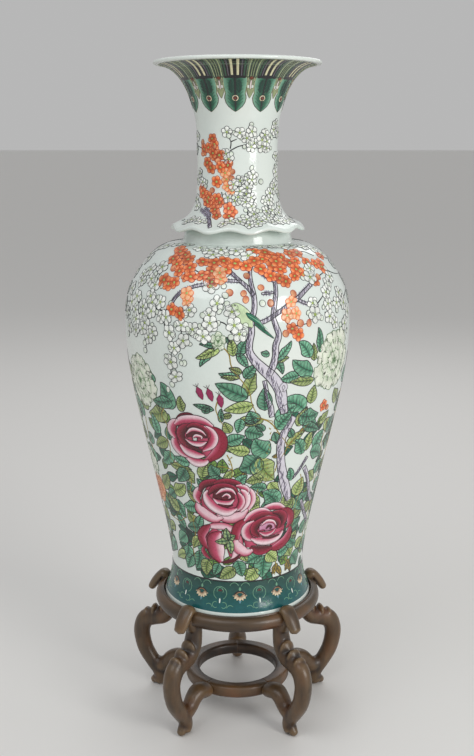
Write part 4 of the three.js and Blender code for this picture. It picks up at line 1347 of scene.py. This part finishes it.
# %% [markdown]
# ### The fan under the lip
#
# Over the lappets the mouth flares out. A painter fills it with bars that widen towards the
# lip, so here a bar is a part of a turn, and it widens by itself as the radius grows.

# %% Fan of bars
LIP_EDGE, FAN_FOOT = 1133.1, 1107


def bars(jar, offsets, half_angle, low, lift, colour):
    """Bars that run up the outline to the lip, at these angles from the middle of each bay.
    Wide ones have more columns, because a flat strip would cut below the round glaze."""
    angle = np.radians((LAPPETS_TURNED + BAYS[:, None] + np.array(offsets)).ravel())
    rows = np.linspace(NECK.at_height(low), NECK.at_height(LIP_EDGE), 9)
    columns = np.r_[-1, np.linspace(-0.9, 0.9, 2 + int(half_angle)), 1]
    shape = (len(angle), len(rows), len(columns))
    turned = angle[:, None, None] + np.radians(half_angle) * columns
    lifts = np.where(abs(columns) == 1, SUNK, lift)
    points = NECK.place(*(np.broadcast_to(v, shape) for v in (turned, rows[:, None], lifts)))
    jar.take(points, colour)


hoop(lappet_green, NECK, 1097, 1111, 0.14, [ink(104, 122, 92), ink(146, 156, 122)])
hoop(lappet_green, NECK, 1107.5, 1133.3, 0.2, [ink(128, 142, 112), ink(92, 116, 90), ink(66, 92, 74)])
bars(lappet_dark, [0], 11.4, FAN_FOOT, 0.3, ink(20, 22, 26))
bars(lappet_dark, [-14.2, 14.2, 16.36], 0.45, FAN_FOOT, 0.3, BLACK)
bars(lappet_cream, [-2.7, 2.7], 1.15, 1112, 0.38, ink(232, 228, 186))
bars(lappet_cream, [-6.2, 6.2], 0.45, 1111, 0.38, ink(112, 106, 118))
bars(lappet_green, [-8.6, 8.6], 0.75, 1111, 0.38, ink(52, 92, 70))
bars(lappet_cream, [-12.6, 12.6], 0.4, 1110, 0.38, ink(186, 196, 150))
bars(lappet_green, [-15.3, 15.3], 0.35, 1110, 0.3, ink(150, 164, 120))
print("fan from", FAN_FOOT, "to", LIP_EDGE, "mm")

# %% [markdown]
# ### Firing
#
# All the enamels are painted now, so each jar becomes one mesh with its colours on its points.

# %% Fire the enamels
JARS += [band_ground, band_drawing, band_dark, lappet_green, lappet_dark, lappet_cream]
for jar in JARS:
    jar.fire()
print(len(JARS), "enamels fired")

# %% [markdown]
# ## The stand's wood
#
# The stand is dark hardwood, worn for decades. Hands and dusters have polished the bulges of
# the legs to a lighter brown, and their hollows are darker. On the rings the same two colours are
# painted light and shade: a painted highlight on faces turned up and out, and a painted shade on
# faces turned down and in. Two attributes carry that: "grain" is each point's place in the plank
# it was sawn from, and "wear_and_light" says on a leg how far a point stands out from the surface
# round it, and on a ring how far its face turns up and out.


# %% Wood
DARK_FIGURE, BROWN_FIGURE, RED_PATCH, DARK_FIBRE = ink(38, 26, 16), ink(88, 62, 36), ink(106, 60, 27), ink(38, 22, 12)
# The lighter brown is the polish on the legs' bulges and a painted highlight on the rings' upper, outer faces; the near
# black darkens the legs' hollows and is a painted shade on the rings' lower, inner faces.
WORN_AND_LIT_BROWN, DARK_HOLLOWS_AND_SHADE = ink(130, 106, 74), ink(24, 15, 9)
FIBRES, FIGURE, PATCHES = 420, 60, 16
EVENLY_WORN = 0.5


def hardwood(name, waxed=True):
    """Figure and fibres drawn out along the plank and a few redder patches. Where the wear_and_light
    attribute is high the colour is lighter: the polished bulges of the legs, and a painted highlight
    on the rings. Where it is low it is darker: the hollows of the legs, and a painted shade on the
    rings. Hidden wood is dull and evenly rubbed."""
    finish = Finish(name, {"IOR": 1.48, "Coat Weight": 0.3 if waxed else 0.0, "Coat Roughness": 0.22})
    plank = finish.attribute("grain", "Vector") if waxed else finish.coordinates()
    wear_and_light = finish.attribute("wear_and_light", "Fac") if waxed else EVENLY_WORN
    fibre = finish.noise(finish.stretched(plank, (1, 1, 0.06)), FIBRES, 5, 0.65)
    figure = finish.noise(finish.stretched(plank, (1, 1, 0.14)), FIGURE, 4)
    patch = finish.noise(plank, PATCHES, 3)
    colour = finish.mix(finish.steps(figure, 0.3, 0.75), DARK_FIGURE, BROWN_FIGURE)
    colour = finish.mix(finish.steps(patch, 0.5, 0.75) * 0.6, colour, RED_PATCH)
    colour = finish.mix(finish.steps(fibre, 0.5, 0.8) * 0.55, colour, DARK_FIBRE)
    # Lighter where the attribute is high: the polished bulges of the legs, and a painted highlight where a ring faces
    # up and out.
    worn_and_lit = finish.steps(wear_and_light + 0.25 * (patch - 0.5) + 0.1 * (fibre - 0.5), 0.5, 0.95)
    # Darker where it is low: the hollows of the legs, and a painted shade where a ring faces down and in.
    hollow = finish.steps(wear_and_light + 0.15 * (patch - 0.5), 0.12, 0.55)
    colour = finish.mix(worn_and_lit * 0.5, colour, WORN_AND_LIT_BROWN)
    colour = finish.mix(0.75 - 0.75 * hollow, colour, DARK_HOLLOWS_AND_SHADE)
    finish.drive("Base Color", colour)
    finish.drive("Roughness", (0.44 if waxed else 0.75) - 0.14 * worn_and_lit + 0.15 * (fibre - 0.5))
    finish.bump(0.7 * fibre + 0.3 * figure, 0.0006)
    return finish.material


HARDWOOD = hardwood("worn hardwood")
HIDDEN_WOOD = hardwood("inside hardwood", waxed=False)
print("woods:", HARDWOOD.name, "and", HIDDEN_WOOD.name)


# %% Wear
def point_normals(points, quads):
    """Each face's normal is the cross product of its diagonals, summed at its corners."""
    corner = points[quads]
    face = np.cross(corner[:, 2] - corner[:, 0], corner[:, 3] - corner[:, 1])
    total = np.stack([np.bincount(quads.ravel(), np.repeat(f, 4), len(points)) for f in face.T], axis=1)
    return total / np.maximum(np.linalg.norm(total, axis=1, keepdims=True), 1e-12)


def convexity(points, quads, reach_mm, rounds):
    """How far a point stands out of its own neighbourhood: the points are averaged with their
    neighbours many times, and what each has lost along its normal is compared with a reach."""
    one, two = np.hstack([quads, np.roll(quads, 1, axis=1)]).reshape(-1, 2, 4).transpose(1, 0, 2).reshape(2, -1)
    degree = np.bincount(one, minlength=len(points))[:, None]
    soft = points.copy()
    for _ in range(rounds):
        around = np.stack([np.bincount(one, soft[two, axis], len(points)) for axis in range(3)], axis=1)
        soft = 0.5 * soft + 0.5 * around / np.maximum(degree, 1)
    out = np.sum((points - soft) * point_normals(points, quads), axis=1)
    return np.clip(0.5 + 0.5 * out / (reach_mm * MM), 0, 1)


def grey(values):
    """A colour attribute whose channels all hold the same number."""
    return np.column_stack([values, values, values, np.ones_like(values)])


def turned_about_axis(points, degrees):
    """Turns points round the vase's axis, so that what faced the front faces this angle."""
    c, s = np.cos(np.radians(degrees)), np.sin(np.radians(degrees))
    x, y, z = points.T
    return np.stack([c * x - s * y, s * x + c * y, z], axis=1)


# %% [markdown]
# ## The legs
#
# A leg starts as a few limbs: an S-shaped main limb, a spur to the lower ring and a beaked
# head over the top ring. Each is an oval carried along a path. A voxel remesh then melts them
# into one skin, as a carver blends them, and smoothing takes off the steps.


# %% Limbs
SIDES = 24


def limb(stations):
    """An oval swept along a path. A station is (radius from the axis, height, half thickness
    in the leg's plane, half width across it), and each end is closed to a point."""
    run = smooth_curve(stations, 5)
    ahead = np.gradient(run[:, :2], axis=0)
    ahead /= np.linalg.norm(ahead, axis=1, keepdims=True)
    turn = np.linspace(0, 2 * np.pi, SIDES, endpoint=False)
    first = run[0, :2] - 0.6 * run[0, 2] * ahead[0]
    last = run[-1, :2] + 0.6 * run[-1, 2] * ahead[-1]
    in_plane = run[:, 2:3] * np.cos(turn)
    outwards, across = run[:, :1] - in_plane * ahead[:, 1:], run[:, 3:4] * np.sin(turn)
    points = np.stack([outwards, across, run[:, 1:2] + in_plane * ahead[:, :1]], axis=-1).reshape(-1, 3)
    points = np.vstack([points, [(first[0], 0, first[1])], [(last[0], 0, last[1])]])
    ring, after = np.arange(SIDES), (np.arange(SIDES) + 1) % SIDES
    last_ring, pole = (len(run) - 1) * SIDES, len(run) * SIDES
    caps = [np.stack([np.full(SIDES, pole), after, ring], axis=1),
            np.stack([np.full(SIDES, pole + 1), last_ring + ring, last_ring + after], axis=1)]
    return points * MM, grid_faces(len(run), SIDES, wrap_columns=True), np.vstack(caps)


def ball(radius, height, size):
    """A knuckle: a short fat limb."""
    ends = 0.3 * size, 0.75 * size
    return limb([(radius - ends[0], height, ends[1], ends[1]), (radius, height, size, size),
                 (radius + ends[0], height, ends[1], ends[1])])


def melted(limbs, voxel, smoothing):
    """One skin round overlapping closed limbs: a voxel remesh, then smoothing. Returns its
    points and quads."""
    points, quads, caps, count = [], [], [], 0
    for place, sides, ends in limbs:
        points.append(place), quads.append(sides + count), caps.append(ends + count)
        count += len(place)
    mesh = new_mesh("limbs", np.vstack(points), [np.vstack(quads), np.vstack(caps)])
    rough = bpy.data.objects.new("limbs", mesh)
    bpy.context.collection.objects.link(rough)
    remesh = rough.modifiers.new("melt", "REMESH")
    remesh.mode, remesh.voxel_size = "VOXEL", voxel
    soften = rough.modifiers.new("soften", "SMOOTH")
    soften.factor, soften.iterations = 0.5, smoothing
    shape = rough.evaluated_get(bpy.context.evaluated_depsgraph_get()).to_mesh()
    place = np.empty(len(shape.vertices) * 3)
    shape.vertices.foreach_get("co", place)
    corners = np.empty(len(shape.loops), int)
    shape.loops.foreach_get("vertex_index", corners)
    bpy.data.objects.remove(rough)
    bpy.data.meshes.remove(mesh)
    return place.reshape(-1, 3), corners.reshape(-1, 4)


# %% Legs
LEG_DIRECTIONS = 36 + 72 * np.arange(5)
TOP_RING_FROM, TOP_RING_INSIDE = 0.2065, 0.1334
LIMBS = [
    [(128, 206, 12, 14), (127.5, 190, 12, 15), (129, 174, 12.5, 16), (134, 157, 14, 17), (146, 143, 16, 17),
     (164, 138, 17, 15.5), (181, 131, 17, 15.5), (189.5, 115, 16, 15), (190.5, 96, 15.5, 14.5), (184, 70, 15, 14),
     (170, 47, 14, 13.5), (158, 30, 13, 13), (154, 16, 12, 12.5), (159, 7, 11.5, 12)],
    [(168, 46, 13, 12), (154, 40, 14.5, 14), (141, 46, 14.5, 14), (131, 57, 14.5, 15), (119, 63, 14, 17),
     (107, 60.5, 14, 18), (97, 58, 12.5, 18)],
    [(138, 214, 9, 12), (139, 224, 8.5, 13), (144, 228, 8, 14), (152, 221, 8.5, 14), (161, 209, 8.5, 13),
     (169, 197, 7, 10.5)],
    [(133, 190, 10, 12), (139, 202, 10, 12), (146, 213, 9, 11.5)],
    [(157, 16, 9, 9), (166, 8, 8, 8.5), (172, 6.5, 5, 6)],
]
KNUCKLES = [(145, 157, 15), (164, 149, 14.5), (180, 141, 13.5)]


def leg_skin():
    """The main limb, spur, head, neck, toe and knuckles as one skin. It doesn't go below the
    ground, and over the top ring it stays outside the vase's foot."""
    place, quads = melted([*map(limb, LIMBS), *(ball(*knuckle) for knuckle in KNUCKLES)], voxel=0.0016, smoothing=7)
    along, across, up = place.T
    up = np.maximum(up, 0)
    out = np.hypot(along, across)
    clear = np.where(up > TOP_RING_FROM, np.maximum(out, TOP_RING_INSIDE), out)
    return np.stack([along * clear / out, across * clear / out, up], axis=1), quads


leg_place, leg_quads = leg_skin()
print("leg from", leg_place.min(axis=0).round(4), "to", leg_place.max(axis=0).round(4))
leg_wear = grey(convexity(leg_place, leg_quads, reach_mm=1.1, rounds=26))
for number, direction in enumerate(LEG_DIRECTIONS, start=1):
    another_plank = (0, 0.3 * number, 0)
    mesh = new_mesh(f"carved_leg_{number}", turned_about_axis(leg_place, direction - 90), [leg_quads],
                    {"grain": leg_place + another_plank, "wear_and_light": leg_wear})
    new_piece(mesh, HARDWOOD, "stand", [f"leg_{number}"])

# %% [markdown]
# ## The rings
#
# Both rings are five curved segments that meet over the legs. The top one is a half-round
# moulding with a thin raised lip against the vase. The lower one is a rounded square.


# %% Rings
SEGMENT_HALF_SWEEP, SEGMENT_COLUMNS = 35.93, 56
GROOVE_SIDE = [(112.4, 208.2), (112.4, 199.5), (113.4, 198.2), (136, 198)]
RAISED_LIP = [
    (137.4, 222.6), (136.9, 222.2), (136.5, 222.4), (136.3, 223.6), (135.9, 224.3), (135, 224.5), (134, 224.3),
    (133.5, 223.6), (133.4, 218), (133.4, 208.3),
]


def oval(centre, half, turn, power=(1, 1)):
    """Points round an oval: a cosine outwards and a sine upwards, each raised to a power,
    which squares the oval where it is less than one."""
    wave = np.stack([np.cos(turn), np.sin(turn)], axis=1)
    return np.array(centre) + half * np.sign(wave) * abs(wave) ** power


def segment(name, section, direction, number, replaced):
    """A closed outline carried round the axis from one joint to the next, with flat ends.
    Faces turned up and out get a painted highlight, and faces turned down and in a painted shade."""
    angle = np.radians(np.linspace(-SEGMENT_HALF_SWEEP, SEGMENT_HALF_SWEEP, SEGMENT_COLUMNS))[:, None]
    radius, height = (v + 0 * angle for v in section.T)
    points = MM * np.stack([radius * np.sin(angle), -radius * np.cos(angle), height], axis=-1).reshape(-1, 3)
    quads = grid_faces(SEGMENT_COLUMNS, len(section), wrap_columns=True)
    ends = np.arange(len(section))
    caps = np.stack([ends[::-1], (SEGMENT_COLUMNS - 1) * len(section) + ends])
    away = section - section.mean(axis=0)
    # Painted light and shade: a face turned up and out, towards light from above, gets a high value and is drawn
    # lighter; one turned down and in gets a low value and is drawn darker.
    lit = away @ (0.7, 0.7) / np.linalg.norm(away, axis=1)
    wear_and_light = (0.45 + 0.25 * lit + 0 * angle).ravel()
    another_plank = (0, 0, 0.5 * number)
    grain = MM * np.stack([radius, height, angle * 130 + 0 * radius], axis=-1).reshape(-1, 3) + another_plank
    mesh = new_mesh(name, turned_about_axis(points, direction), [quads, caps], {"grain": grain, "wear_and_light": grey(wear_and_light)})
    new_piece(mesh, HARDWOOD, "stand", [replaced])


moulding = oval((137, 210), (11, 12.4), np.radians(np.linspace(-86, 84, 22)))
top_section = np.vstack([evenly(np.array(GROOVE_SIDE), 16), moulding, RAISED_LIP])
low_section = oval((82.5, 58), (12.5, 11), np.linspace(0, 2 * np.pi, 48, endpoint=False) + np.pi / 48, (0.55, 0.6))
for number, direction in enumerate((72, 144, 216, 288, 0), start=1):
    segment(f"top_ring_{number}", top_section, direction, number, f"apron_{number}")
    segment(f"low_ring_{number}", low_section, direction, number + 5, f"lower_ring_{number}")

# %% [markdown]
# ## Wood that stays as modelled
#
# The seat board lies in the top ring's groove under the foot, and the dowels are inside the
# joints. Their CAD shapes are right, so they only get unwaxed wood, which no duster reaches.

# %% Hidden wood
hidden = ["seat_board"] + [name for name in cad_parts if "dowel" in name]
for node in hidden:
    slots = bpy.data.objects[node].material_slots
    slots[0].link = "OBJECT"
    slots[0].material = HIDDEN_WOOD
print(len(hidden), "CAD nodes keep their shapes")
